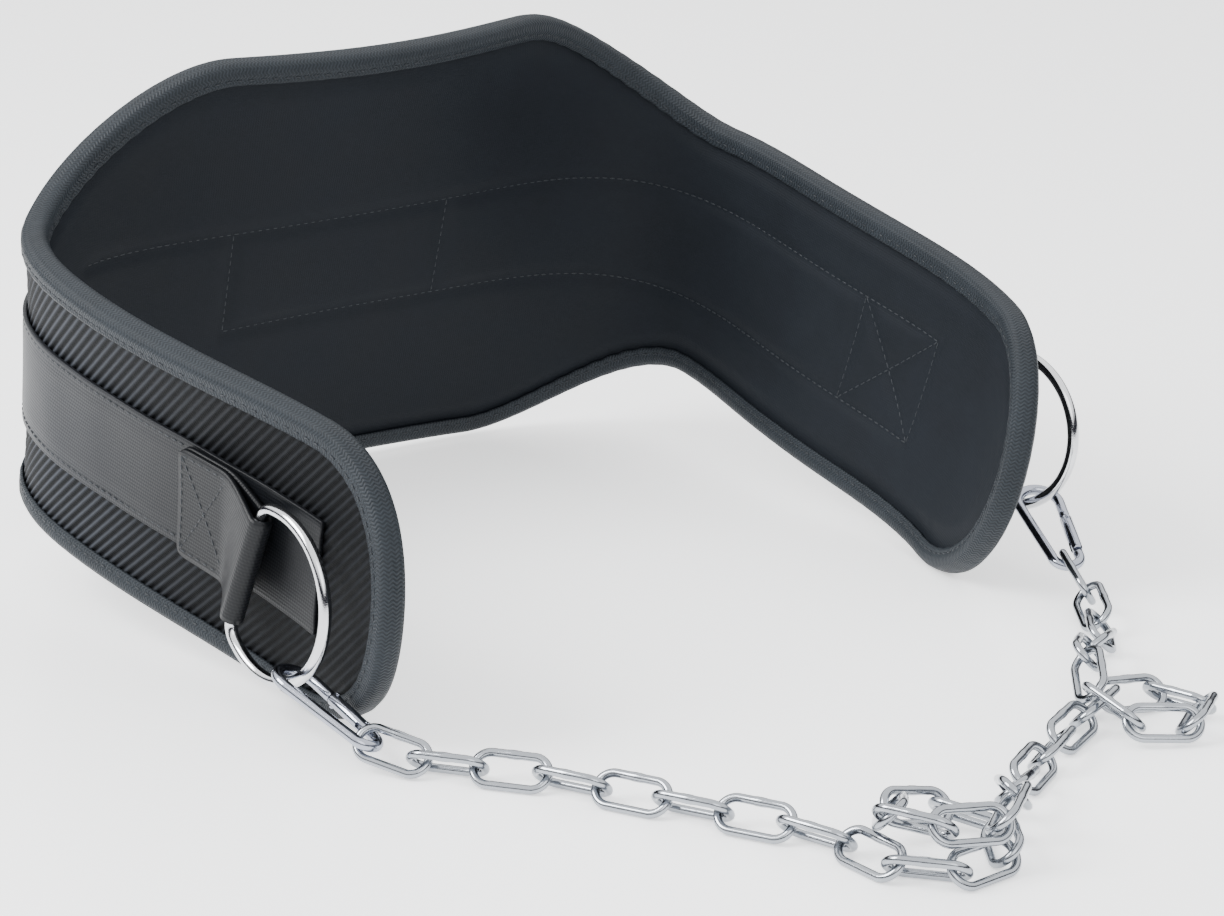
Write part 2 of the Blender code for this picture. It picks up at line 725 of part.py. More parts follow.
def combine(target, other, operation):
    """Join or cut one solid with another and put the other away with the cutters."""
    for collection in list(other.users_collection):
        collection.objects.unlink(other)
    cutter_collection.objects.link(other)
    other.hide_render = True
    other.display_type = "WIRE"
    boolean = target.modifiers.new(operation.lower(), "BOOLEAN")
    boolean.operation = operation
    boolean.solver = "EXACT"
    boolean.object = other
    bpy.context.view_layer.objects.active = target
    bpy.ops.object.modifier_apply(modifier=boolean.name)


def snap_parts(place):
    """Frame and gate of one snap link."""
    name = place[0]
    frame = snap_frame(place)
    wire = wire_object("snap", [in_place(frame, x, y) for x, y in snap_path()], False, SNAP_WIRE, 8)
    hinge = (HINGE_PLACE, gate_line(HINGE_PLACE), 0.0)
    tang_end = HINGE_FRAME_END + 1.2 * MM
    tang_start = HINGE_PLACE - TANG_REACH
    tang_x = (tang_start + tang_end) / 2
    tang = block(frame, (tang_x, gate_line(tang_x), 0.0),
                 (tang_end - tang_start, 2 * TANG_HALF_HEIGHT, TANG_THICKNESS), -SNAP_TAPER)
    combine(wire, tang, "UNION")
    half_pin = (hinge[0], hinge[1], GATE_WIRE)
    hole = cylinder_between(frame, (hinge[0], hinge[1], -GATE_WIRE), half_pin,
                            HINGE_PIN + 2 * TANG_CLEARANCE, 10)
    combine(wire, hole, "DIFFERENCE")
    keep(wire, "snap_link_" + name, SNAP_STEEL, True)

    gate = wire_object("gate", [
        in_place(frame, GATE_START, gate_line(GATE_START)),
        in_place(frame, GATE_END, gate_line(GATE_END)),
    ], False, GATE_WIRE, 8)
    slot_start = HINGE_PLACE - GATE_SLOT_DEPTH
    slot_end = GATE_END + 2 * MM
    slot_x = (slot_start + slot_end) / 2
    slot = block(frame, (slot_x, gate_line(slot_x), 0.0),
                 (slot_end - slot_start, 2 * GATE_WIRE, TANG_THICKNESS + 2 * TANG_CLEARANCE), -SNAP_TAPER)
    combine(gate, slot, "DIFFERENCE")
    reach = GATE_WIRE / 2 - 0.2 * MM
    pin = cylinder_between(frame, (hinge[0], hinge[1], -reach), (hinge[0], hinge[1], reach), HINGE_PIN, 8)
    combine(gate, pin, "UNION")
    catch_x = GATE_START + CATCH_PIN_INSET
    catch = cylinder_between(frame, (catch_x, gate_line(catch_x), -CATCH_PIN_LENGTH / 2),
                             (catch_x, gate_line(catch_x), CATCH_PIN_LENGTH / 2), CATCH_PIN, 8)
    combine(gate, catch, "UNION")
    keep(gate, "snap_gate_" + name, SNAP_STEEL, True)


for place in SNAP_PLACES:
    snap_parts(place)


def link_path():
    """Middle line of a link's wire in its own plane."""
    bow = (LINK_OUTER_WIDTH - LINK_WIRE) / 2
    middle = LINK_INNER_LENGTH / 2 + LINK_WIRE / 2 - bow
    points = []
    for end in (1, -1):
        for step in range(LINK_BOW_STEPS + 1):
            angle = math.radians(-90 + 180 * step / LINK_BOW_STEPS)
            points.append((end * (middle + bow * math.cos(angle)), end * bow * math.sin(angle)))
    return points


def chain_places():
    """Ends and roll of every link, at even steps between the places of the chain's way."""
    left = in_place(snap_frame(SNAP_PLACES[0]), SNAP_CHAIN_SEAT + LINK_WIRE / 2, 0)
    right = in_place(snap_frame(SNAP_PLACES[1]), SNAP_CHAIN_SEAT + LINK_WIRE / 2, 0)
    stops = [(Vector((x, y, height)) * MM, links, extra) for x, y, height, links, extra in CHAIN_WAY]
    stops.append((right, *WAY_TO_RIGHT_SNAP))
    places = []
    here = left
    for stop, links, extra in stops:
        ends = [here.lerp(stop, number / links) for number in range(links + 1)]
        for start, end in zip(ends, ends[1:]):
            turn = LINK_ROLL if len(places) % 2 == 0 else -LINK_ROLL
            places.append((start, end, turn + extra))
        here = stop
    return places


def bottom_centre(objects):
    """Middle of the lowest face of the box round some objects."""
    corners = [vertex.co for obj in objects for vertex in obj.data.vertices]
    low = [min(corner[axis] for corner in corners) for axis in range(3)]
    high = [max(corner[axis] for corner in corners) for axis in range(3)]
    return Vector(((low[0] + high[0]) / 2, (low[1] + high[1]) / 2, low[2]))


def link_frame(start, end, roll):
    """Frame of a link between two joints, rolled from the upright by an angle."""
    along = (end - start).normalized()
    side = along.cross(Vector((0, 0, 1))).normalized()
    up = side.cross(along)
    turn = Matrix.Rotation(math.radians(roll), 3, along)
    return (start + end) / 2, along, turn @ side, turn @ up


for number, (start, end, roll) in enumerate(chain_places(), start=1):
    frame = link_frame(start, end, roll)
    points = [in_place(frame, x, y) for x, y in link_path()]
    link = wire_object("link", points, True, LINK_WIRE, LINK_SIDES)
    keep(link, "chain_link_%02d" % number, CHAIN_STEEL, True)

# Bring the middle of the whole belt's underside to the origin
ORIGIN_SHIFT = -bottom_centre(belt_collection.objects)
for obj in belt_collection.objects:
    obj.data.transform(Matrix.Translation(ORIGIN_SHIFT))
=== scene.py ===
# %% [markdown]
# # A dip belt with a chain
# A dip belt is a padded waist belt, wide at the back, from which weights hang on a chain. The solids of
# the belt are already built at their real size. This lesson dresses them: every cloth part, the rings,
# the snap links and the chain get their fine shape and their finish, and each new piece takes the place
# of a plain solid.

# %% Load the solids
import json
import math

import bmesh
import bpy
from mathutils import Matrix, Vector, noise


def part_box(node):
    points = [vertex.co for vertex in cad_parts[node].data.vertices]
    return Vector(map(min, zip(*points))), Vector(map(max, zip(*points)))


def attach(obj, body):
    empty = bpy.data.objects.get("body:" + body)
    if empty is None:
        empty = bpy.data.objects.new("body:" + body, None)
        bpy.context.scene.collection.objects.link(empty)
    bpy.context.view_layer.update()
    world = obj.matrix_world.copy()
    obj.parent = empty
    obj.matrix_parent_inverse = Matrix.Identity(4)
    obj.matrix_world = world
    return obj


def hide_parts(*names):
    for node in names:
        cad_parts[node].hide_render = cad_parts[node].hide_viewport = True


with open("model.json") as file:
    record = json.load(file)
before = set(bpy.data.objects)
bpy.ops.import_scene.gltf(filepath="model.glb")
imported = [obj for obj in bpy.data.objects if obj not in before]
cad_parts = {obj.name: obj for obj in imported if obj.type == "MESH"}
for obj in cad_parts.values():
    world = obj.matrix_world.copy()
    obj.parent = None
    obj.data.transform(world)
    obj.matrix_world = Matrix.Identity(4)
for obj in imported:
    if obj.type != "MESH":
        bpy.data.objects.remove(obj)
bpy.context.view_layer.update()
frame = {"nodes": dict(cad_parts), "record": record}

MM = 0.001
BODY = "belt"
print("solids:", len(frame["nodes"]))

# %% [markdown]
# ## How the belt stands
# The real belt is sewn flat and then bent round. It could be modelled bent from the start, but seams,
# ribs and webbing are much easier to lay out flat. So every cloth piece is drawn flat, with x along the
# belt, y across it and z outward through the wall, and one function bends it. The sizes below are the
# sizes of the solids.

# %% Sizes of the flat belt
BELT_LENGTH = 712 * MM
BACK_WIDTH = 176 * MM
ARM_WIDTH = 99 * MM
TAPER_FROM_MIDDLE = 60 * MM
TAPER_TO_MIDDLE = 153.5 * MM
END_ROUNDING = 46 * MM
PAD_OUTER = 1.0 * MM
PAD_INNER = -4.0 * MM
PAD_PRESSED = -2.6 * MM
COVER_INNER = 1.3 * MM
COVER_OUTER = 2.6 * MM
EDGE_INSET = 1.9 * MM
STRAP_WIDTH = 40 * MM
STRAP_INNER = 3.4 * MM
STRAP_THICK = 1.5 * MM
STRAP_OUTER = STRAP_INNER + STRAP_THICK
STRAP_END = 38 * MM

FORWARD_TILT = 0.201
BOW_SPAN = 60 * MM
START = Vector((-119, -53.2, 52.6)) * MM
START_HEADING = math.radians(82.4)
ORIGIN_SHIFT = Vector((-6.721, 6.548, -0.022)) * MM
TURN_RATES = (
    5.24, 4.45, 1.80, -0.64, -4.05, -21.28, -16.66, -3.11, 0.78, -0.81,
    1.07, -8.00, -23.91, -9.99, 1.99, 1.21, -5.76, -9.31, -10.17,
)
LEANS = (-0.008, 0.056, 0.002, -0.139, 0.020, 0.175, 0.127)
BOWS = (-0.093, 0.111, 0.001, -0.014, 0.007, -0.065, -0.156)


def straight_value(values, share):
    """Straight-line reading of evenly spaced values."""
    at = min(max(share, 0.0), 1.0) * (len(values) - 1)
    low = min(int(at), len(values) - 2)
    return values[low] + (values[low + 1] - values[low]) * (at - low)


def smooth_value(values, share):
    """Smooth reading of evenly spaced values."""
    at = min(max(share, 0.0), 1.0) * (len(values) - 1)
    low = min(int(at), len(values) - 2)
    t = at - low
    p1, p2 = values[low], values[low + 1]
    p0 = values[low - 1] if low > 0 else 2 * p1 - p2
    p3 = values[low + 2] if low + 2 < len(values) else 2 * p2 - p1
    m1, m2 = (p2 - p0) / 2, (p3 - p1) / 2
    return ((2 * t ** 3 - 3 * t ** 2 + 1) * p1 + (t ** 3 - 2 * t ** 2 + t) * m1
            + (-2 * t ** 3 + 3 * t ** 2) * p2 + (t ** 3 - t ** 2) * m2)


def walk_the_plan(step):
    """Points and headings of the belt's middle line seen from above."""
    count = int(round(BELT_LENGTH / step))
    x, y, heading = START.x, START.y, START_HEADING
    stops = [(x, y, heading)]
    for index in range(count):
        rate = straight_value(TURN_RATES, (index + 0.5) / count)
        middle = heading + rate * step / 2
        x += math.cos(middle) * step
        y += math.sin(middle) * step
        heading += rate * step
        stops.append((x, y, heading))
    return stops


PLAN = walk_the_plan(1 * MM)
print("plan of the middle line:", len(PLAN), "stops")


# %% [markdown]
# ## Bending the wall
# The wall bends round the waist, leans and bows a little. A bend modifier only makes one even bend, and a
# curve modifier twists the cloth at tight turns. A function that walks the plan and then adds the lean
# keeps every width true.

# %% Bend a flat point to the standing belt
def bend(along, across, outward):
    """Place of a point of the flat belt on the standing belt."""
    share = along / BELT_LENGTH
    at = min(max(share, 0.0), 1.0) * (len(PLAN) - 1)
    low = min(int(at), len(PLAN) - 2)
    t = at - low
    here, there = PLAN[low], PLAN[low + 1]
    heading = here[2] + (there[2] - here[2]) * t
    lean = smooth_value(LEANS, share)
    bow = smooth_value(BOWS, share)
    reach = across / BOW_SPAN
    slope = math.atan(lean + 2 * bow * reach)
    offset = (lean * across + bow * across * reach + outward) * math.cos(slope)
    height = across * math.cos(math.atan(lean + bow * reach)) - outward * math.sin(slope)
    x = here[0] + (there[0] - here[0]) * t - math.sin(heading) * offset
    y = here[1] + (there[1] - here[1]) * t + math.cos(heading) * offset
    tilt_cos, tilt_sin = math.cos(FORWARD_TILT), math.sin(FORWARD_TILT)
    place = Vector((x, y * tilt_cos - height * tilt_sin, y * tilt_sin + height * tilt_cos + START.z))
    return place + ORIGIN_SHIFT


def half_width(along):
    """Half of the flat belt's width, without the rounding of its ends."""
    from_middle = abs(along - BELT_LENGTH / 2)
    t = (from_middle - TAPER_FROM_MIDDLE) / (TAPER_TO_MIDDLE - TAPER_FROM_MIDDLE)
    t = min(max(t, 0.0), 1.0)
    wide = 1 - t * t * (3 - 2 * t)
    return (ARM_WIDTH + (BACK_WIDTH - ARM_WIDTH) * wide) / 2


def end_share(along, inset=0.0):
    """How much of the full half width the rounded ends leave at a place."""
    from_tip = min(along, BELT_LENGTH - along) - inset
    depth = 1 - min(max(from_tip / (END_ROUNDING - inset), 0.0), 1.0)
    return math.sqrt(max(1 - depth * depth, 0.0))


def edge_distance(along, across):
    """Distance from a flat point to the belt's edge."""
    from_tip = min(along, BELT_LENGTH - along)
    if from_tip >= END_ROUNDING:
        return half_width(along) - abs(across)
    forward = (END_ROUNDING - from_tip) / END_ROUNDING
    return (1 - math.hypot(forward, across / (ARM_WIDTH / 2))) * END_ROUNDING


print("left end at", [round(v, 3) for v in bend(0, 0, 0)])

# %% [markdown]
# ## Helpers for making pieces
# Operators work on whatever is selected, so each piece starts with nothing selected. A grid is the
# natural start for cloth: its rows and columns are moved to their places on the flat belt, a modifier
# gives it a thickness, and then it is bent. The flat place of each corner is kept as its UV map, in
# millimetres, for the weave.


# %% Start, bend and hand over a piece
def active_after_clearing(add, **settings):
    """Run an operator that adds a primitive, with nothing else selected."""
    bpy.ops.object.select_all(action="DESELECT")
    add(**settings)
    return bpy.context.active_object


def apply_modifier(obj, kind, **settings):
    """Add a modifier to a piece and apply it."""
    modifier = obj.modifiers.new(kind.lower(), kind)
    for name, value in settings.items():
        setattr(modifier, name, value)
    bpy.context.view_layer.objects.active = obj
    bpy.ops.object.modifier_apply(modifier=modifier.name)


def keep_flat_map(obj):
    """Store the flat place of every corner, in millimetres, as the piece's UV map."""
    layer = obj.data.uv_layers.active or obj.data.uv_layers.new(name="flat")
    for loop in obj.data.loops:
        place = obj.data.vertices[loop.vertex_index].co
        layer.data[loop.index].uv = (place.x / MM, place.y / MM)


def face_outward(obj):
    """Make all faces of a closed piece point outward."""
    bpy.ops.object.select_all(action="DESELECT")
    obj.select_set(True)
    bpy.context.view_layer.objects.active = obj
    bpy.ops.object.mode_set(mode="EDIT")
    bpy.ops.mesh.select_all(action="SELECT")
    bpy.ops.mesh.remove_doubles(threshold=0.00001)
    bpy.ops.mesh.normals_make_consistent(inside=False)
    bpy.ops.object.mode_set(mode="OBJECT")
    bpy.ops.object.shade_smooth()


def hand_over(obj, name, slot, material, *nodes):
    """Name a finished piece, fix it to the belt, and let it stand for its solids."""
    obj.name = name
    obj.data.name = name
    obj.data.materials.clear()
    obj.data.materials.append(material)
    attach(obj, BODY)
    if nodes:
        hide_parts(*nodes)
    print(name, "has", len(obj.data.polygons), "faces")


# %% [markdown]
# ## Writing materials
# A material is a chain of nodes. Written out one by one they are hard to read, so a small class lets a
# socket take part in ordinary sums: `crest * 0.6 + grain` adds the Math nodes by itself.


# %% A socket that can be used in sums
class Value:
    """A socket of a material that takes part in sums."""

    def __init__(self, tree, socket):
        self.tree = tree
        self.socket = socket

    def node(self, kind, settings, inputs, output=0):
        """Add any node: its settings first, then the values or links of its sockets."""
        made = self.tree.nodes.new(kind)
        for name, value in settings.items():
            if name == "stops":
                for stop, (place, colour) in zip(made.color_ramp.elements, value):
                    stop.position = place
                    stop.color = (*colour, 1.0)
            else:
                setattr(made, name, value)
        for name, value in inputs.items():
            if isinstance(value, Value):
                self.tree.links.new(value.socket, made.inputs[name])
            else:
                made.inputs[name].default_value = value
        return Value(self.tree, made.outputs[output])

    def sum(self, operation, first, second=0.0):
        return self.node("ShaderNodeMath", {"operation": operation}, {0: first, 1: second})

    def __add__(self, other):
        return self.sum("ADD", self, other)

    def __radd__(self, other):
        return self.sum("ADD", other, self)

    def __sub__(self, other):
        return self.sum("SUBTRACT", self, other)

    def __rsub__(self, other):
        return self.sum("SUBTRACT", other, self)

    def __mul__(self, other):
        return self.sum("MULTIPLY", self, other)

    def __rmul__(self, other):
        return self.sum("MULTIPLY", other, self)

    def __truediv__(self, other):
        return self.sum("DIVIDE", self, other)


def start_material(name, **uniform):
    """New material; values that are the same all over are set on the shader's own sockets."""
    material = bpy.data.materials.new(name)
    material.use_nodes = True
    tree = material.node_tree
    shader = tree.nodes["Principled BSDF"]
    for socket, value in uniform.items():
        shader.inputs[socket.replace("_", " ")].default_value = value
    texture = tree.nodes.new("ShaderNodeTexCoord")
    return material, shader, Value(tree, texture.outputs["UV"]), Value(tree, texture.outputs["Object"])


def finish_material(shader, colour=None, roughness=None, height=None, distance=0.0002, strength=1.0):
    """Link what changes over the surface to the shader."""
    tree = shader.id_data
    if colour:
        tree.links.new(colour.socket, shader.inputs["Base Color"])
    if roughness:
        tree.links.new(roughness.socket, shader.inputs["Roughness"])
    if height:
        relief = {"Height": height, "Distance": distance, "Strength": strength}
        bump = height.node("ShaderNodeBump", {}, relief)
        tree.links.new(bump.socket, shader.inputs["Normal"])


def mix_colours(mask, first, second):
    """Colour that goes from the first to the second as the mask goes from 0 to 1."""
    mix = mask.tree.nodes.new("ShaderNodeMix")
    mix.data_type = "RGBA"
    mask.tree.links.new(mask.socket, mix.inputs[0])
    for socket, value in ((6, first), (7, second)):
        if isinstance(value, Value):
            mask.tree.links.new(value.socket, mix.inputs[socket])
        else:
            mix.inputs[socket].default_value = (*value, 1.0)
    return Value(mask.tree, mix.outputs[2])


def noise_of(place, scale, detail=3.0, roughness=0.6):
    """Cloudy pattern from 0 to 1."""
    return place.node("ShaderNodeTexNoise", {}, {
        "Vector": place, "Scale": scale, "Detail": detail, "Roughness": roughness})


def across_and_along(uv):
    """The two flat measures of a UV map, in millimetres."""
    split = uv.node("ShaderNodeSeparateXYZ", {}, {0: uv})
    return split, Value(split.tree, split.socket.node.outputs[1])


def painted_tip_shade(along):
    """Painted shade: 0 at the belt's tips and up to 70 mm from them, rising to 1 at 190 mm, so the cloth is
    painted darker towards both tips.
    """
    length = BELT_LENGTH / MM
    from_tip = along.sum("MINIMUM", along, length - along)
    return from_tip.node("ShaderNodeMapRange", {"interpolation_type": "SMOOTHSTEP"}, {
        "Value": from_tip, "From Min": 70.0, "From Max": 190.0, "To Min": 0.0, "To Max": 1.0})


def threads(measure, pitch):
    """Wave from 0 to 1 with one crest per pitch."""
    return measure.sum("SINE", measure * (2 * math.pi / pitch)) * 0.5 + 0.5


print("material helpers ready")

# %% [markdown]
# ## Cloth finishes
# The lining is a smooth dark cloth with a faint mottling, the cover has a ribbed weave, the binding is a
# woven tape and the strap is a denser webbing that catches more light. All are nearly black with a little
# blue. The differences are in roughness, in the direction of the threads and in how far they stand out.
# The cover and the strap also carry painted shade in their colour: the cover's rib valleys are painted
# darker and its crests lighter, and both are painted darker towards the belt's tips.


# %% Lining, ribbed cloth, tape, webbing and thread
def lining_look():
    material, shader, uv, place = start_material("lining cloth", Specular_IOR_Level=0.14)
    along, across = across_and_along(uv)
    mottle = noise_of(place, 38.0, 4.0)
    grain = noise_of(place, 1500.0, 2.0)
    weave = threads(along, 0.9) * threads(across, 0.9)
    shade = mottle * 0.7 + grain * 0.3
    colour = mix_colours(shade, (0.0030, 0.0042, 0.0062), (0.0085, 0.0112, 0.0155))
    finish_material(shader, colour, mottle * 0.2 + 0.58, grain * 0.5 + weave * 0.5, 0.00012, 0.6)
    return material


def ribbed_look(slant, pitch):
    material, shader, uv, place = start_material("ribbed cloth", Specular_IOR_Level=0.1)
    along, across = across_and_along(uv)
    phase = along + across * slant
    painted_crest_light = threads(phase, pitch)
    grain = noise_of(place, 900.0, 3.0)
    strands = threads(across - along * slant, 0.8)
    # Painted light and shade: the colour is lighter on the rib crests and darker in the valleys between them, and
    # darker towards both tips.
    shade = painted_crest_light * 0.7 + grain * 0.3
    shade = shade.sum("POWER", shade, 2.2) * (painted_tip_shade(along) * 0.8 + 0.2)
    colour = mix_colours(shade, (0.0006, 0.0008, 0.0012), (0.0620, 0.0690, 0.0830))
    finish_material(shader, colour, grain * 0.2 + 0.5, strands * 0.6 + grain * 0.4, 0.0002, 0.7)
    return material


def tape_look():
    material, shader, uv, place = start_material("binding tape", Specular_IOR_Level=0.18)
    along, across = across_and_along(uv)
    ribs = threads(along + threads(across, 2.6) * 0.8, 1.3)
    grain = noise_of(place, 1100.0, 3.0)
    wear = noise_of(place, 60.0, 3.0)
    colour = mix_colours(ribs * 0.5 + wear * 0.5, (0.0035, 0.0048, 0.0062), (0.0240, 0.0300, 0.0370))
    finish_material(shader, colour, wear * 0.2 + 0.42, ribs * 0.8 + grain * 0.3, 0.00025, 0.8)
    return material


def webbing_look():
    material, shader, uv, place = start_material("strap webbing", Specular_IOR_Level=0.2)
    along, across = across_and_along(uv)
    warp = threads(across, 1.25)
    weft = threads(along + threads(across, 2.5) * 0.6, 1.1)
    grain = noise_of(place, 700.0, 3.0)
    cloud = noise_of(place, 30.0, 3.0)
    # Painted shade: the webbing's colour is darker towards both tips; the cloud, warp and grain are its own
    # uneven tone.
    shade = (cloud * 0.5 + warp * 0.25 + grain * 0.25) * (painted_tip_shade(along) * 0.75 + 0.25)
    colour = mix_colours(shade, (0.0020, 0.0024, 0.0032), (0.0200, 0.0225, 0.0280))
    finish_material(shader, colour, cloud * 0.16 + 0.34, warp * 0.6 + weft * 0.4, 0.00012, 0.6)
    return material


def thread_look():
    material, shader, uv, place = start_material("sewing thread", Roughness=0.45, Specular_IOR_Level=0.3)
    twist = noise_of(place, 2600.0, 2.0)
    colour = mix_colours(twist, (0.0050, 0.0065, 0.0090), (0.0200, 0.0245, 0.0300))
    finish_material(shader, colour, None, twist, 0.0001, 0.5)
    return material


RIB_PITCH = 3.6
RIB_SLANT = 0.83
LINING = lining_look()
RIBBED = ribbed_look(RIB_SLANT, RIB_PITCH)
TAPE = tape_look()
WEBBING = webbing_look()
THREAD = thread_look()
print("cloth finishes:", LINING.name, RIBBED.name, TAPE.name, WEBBING.name, THREAD.name)

# %% [markdown]
# ## Padded lining
# The inside of the belt is a soft pad under a smooth lining. Seams press shallow channels into it: two
# long ones where the strap is sewn on from outside, two short upright ones at the back, and a crossed box
# near the right end. A cloth simulation would blur such narrow channels, so their depth is worked out
# point by point.

# %% Seams of the lining
SEAM_OUT = 20 * MM
LONG_SEAM_FROM = 240 * MM
BOX_FROM_TIP = 78 * MM
BOX_LENGTH = 39 * MM
UPRIGHT_SEAMS = (302.5 * MM, 392 * MM)
box_low = BELT_LENGTH - BOX_FROM_TIP - BOX_LENGTH
box_high = BELT_LENGTH - BOX_FROM_TIP
LINING_SEAMS = [
    ((LONG_SEAM_FROM, SEAM_OUT), (box_high, SEAM_OUT)),
    ((UPRIGHT_SEAMS[0], -SEAM_OUT), (box_high, -SEAM_OUT)),
    ((UPRIGHT_SEAMS[0], -SEAM_OUT), (UPRIGHT_SEAMS[0], SEAM_OUT)),
    ((UPRIGHT_SEAMS[1], -SEAM_OUT), (UPRIGHT_SEAMS[1], SEAM_OUT)),
    ((box_low, -SEAM_OUT), (box_low, SEAM_OUT)),
    ((box_high, -SEAM_OUT), (box_high, SEAM_OUT)),
    ((box_low, -SEAM_OUT), (box_high, SEAM_OUT)),
    ((box_low, SEAM_OUT), (box_high, -SEAM_OUT)),
]


def distance_to_seam(along, across, seam):
    """Distance from a flat point to a straight seam."""
    (ax, ay), (bx, by) = seam
    length = math.hypot(bx - ax, by - ay)
    t = ((along - ax) * (bx - ax) + (across - ay) * (by - ay)) / (length * length)
    t = min(max(t, 0.0), 1.0)
    return math.hypot(along - ax - (bx - ax) * t, across - ay - (by - ay) * t)


def seam_depth(along, across, seams, width, depth):
    """Depth to which the nearest seam presses the cloth."""
    nearest = min(distance_to_seam(along, across, seam) for seam in seams)
    return depth * math.exp(-(nearest / width) ** 2)


# %% [markdown]
# ## The pad itself
# The real pad is foam between two cloths. Its inner face swells between the seams and is pressed flat
# under the binding, so the face is a height over the flat grid: one rise from the edge, less the seams,
# plus a slight unevenness.

# %% Make the padded lining
UNDER_TAPE = 8.2 * MM
RISE_LENGTH = 7 * MM
SEAM_SPREAD = 2.6 * MM
SEAM_DEPTH = 1.1 * MM
PAD_SWELL = 0.35 * MM
SMOOTH_LEAD = 0.45


def place_cloth_grid(obj, inset):
    """Move a grid's corners to the flat outline of the belt."""
    for vertex in obj.data.vertices:
        across_share = vertex.co.y
        u = (vertex.co.x + 1) / 2
        lead = 0.5 - 0.5 * math.cos(math.pi * u)
        mixed = SMOOTH_LEAD * lead + (1 - SMOOTH_LEAD) * u
        along = inset + (BELT_LENGTH - 2 * inset) * mixed
        half = (half_width(along) - inset) * end_share(along, inset)
        vertex.co = (along, across_share * half, 0)


def lining_face(along, across):
    """Inner face of the pad: full in the middle, pressed under the binding and along its seams."""
    from_edge = edge_distance(along, across)
    rise = min(max((from_edge - UNDER_TAPE) / RISE_LENGTH, 0.0), 1.0)
    rise = rise * rise * (3 - 2 * rise)
    depth = PAD_PRESSED + (PAD_INNER - PAD_PRESSED) * rise
    depth += seam_depth(along, across, LINING_SEAMS, SEAM_SPREAD, SEAM_DEPTH) * rise
    swell = noise.noise(Vector((along * 16, across * 22, 0.3))) * PAD_SWELL
    return depth + swell * rise


PAD_COLUMNS, PAD_ROWS = 300, 72
pad = active_after_clearing(bpy.ops.mesh.primitive_grid_add, x_subdivisions=PAD_COLUMNS,
                            y_subdivisions=PAD_ROWS, size=2)
place_cloth_grid(pad, EDGE_INSET)
keep_flat_map(pad)
apply_modifier(pad, "SOLIDIFY", thickness=1 * MM, offset=1.0)
for vertex in pad.data.vertices:
    inner = vertex.co.z < 0.5 * MM
    face = lining_face(vertex.co.x, vertex.co.y) if inner else PAD_OUTER
    vertex.co = bend(vertex.co.x, vertex.co.y, face)
face_outward(pad)
hand_over(pad, "padded_lining", "lining_cloth", LINING, "lining_pad")

# %% [markdown]
# ## Ribbed cover
# The outside is a cloth with fine slanting ribs. A bump texture alone would look flat at the edges, so
# the ribs are in the mesh. The trick is to lean the grid itself: each column follows one line of a rib,
# and every fourth column is a crest, so few faces give sharp ribs.

# %% Make the ribbed cover
RIB_HEIGHT = 0.6 * MM
COLUMNS_PER_RIB = 4
COVER_ROWS = 26
overhang = RIB_SLANT * ARM_WIDTH / 2
rib_count = int((BELT_LENGTH + 2 * overhang) / (RIB_PITCH * MM))
cover_columns = rib_count * COLUMNS_PER_RIB
cover = active_after_clearing(bpy.ops.mesh.primitive_grid_add, x_subdivisions=cover_columns,
                              y_subdivisions=COVER_ROWS, size=2)


def slanted_place(u, across_share):
    """Flat place of a corner of the leaning grid."""
    phase = -overhang + rib_count * RIB_PITCH * MM * u
    along = phase
    for _ in range(12):
        along = phase - RIB_SLANT * across_share * (half_width(along) - EDGE_INSET)
    across = across_share * (half_width(along) - EDGE_INSET)
    for middle, side in ((END_ROUNDING, -1), (BELT_LENGTH - END_ROUNDING, 1)):
        beyond = (along - middle) * side
        if beyond > 0:
            reach = math.hypot(beyond / (END_ROUNDING - EDGE_INSET), across / (ARM_WIDTH / 2 - EDGE_INSET))
            if reach > 1:
                along = middle + side * beyond / reach
                across = across / reach
    return along, across


for vertex in cover.data.vertices:
    along, across = slanted_place((vertex.co.x + 1) / 2, vertex.co.y)
    vertex.co = (along, across, 0)
keep_flat_map(cover)
apply_modifier(cover, "SOLIDIFY", thickness=1 * MM, offset=1.0)
for vertex in cover.data.vertices:
    outer = vertex.co.z > 0.5 * MM
    along, across = vertex.co.x, vertex.co.y
    face = COVER_INNER
    if outer:
        wave = math.cos(2 * math.pi * (along + RIB_SLANT * across + overhang) / (RIB_PITCH * MM))
        face = COVER_OUTER + RIB_HEIGHT * (0.5 - 0.5 * wave)
    vertex.co = bend(along, across, face)
face_outward(cover)
hand_over(cover, "ribbed_outside", "ribbed_cloth", RIBBED, "ribbed_cover")
step = 1 * MM
middles = [step * (k + 0.5) for k in range(int(BELT_LENGTH / step))]
cut_area = sum(2 * (half_width(x) - EDGE_INSET) * end_share(x, EDGE_INSET) * step for x in middles)
cover_cut = (BACK_WIDTH - 2 * EDGE_INSET, BELT_LENGTH - 2 * EDGE_INSET)
print("flat cut of the cover:", [round(v, 3) for v in cover_cut], "m, area", round(cut_area, 4), "m2")

# %% [markdown]
# ## Binding tape
# A woven tape is folded round the whole edge and sewn through. Its section has a round fold and two flat
# leaves, each with a shallow groove under its row of stitches. A torus would close on itself both ways,
# but the operator stops at 256 steps, too few for the small waves of the sewing. So a grid is laid round
# the edge instead, its columns along the belt's outline and its rows round the section, and its meeting
# edges are merged.

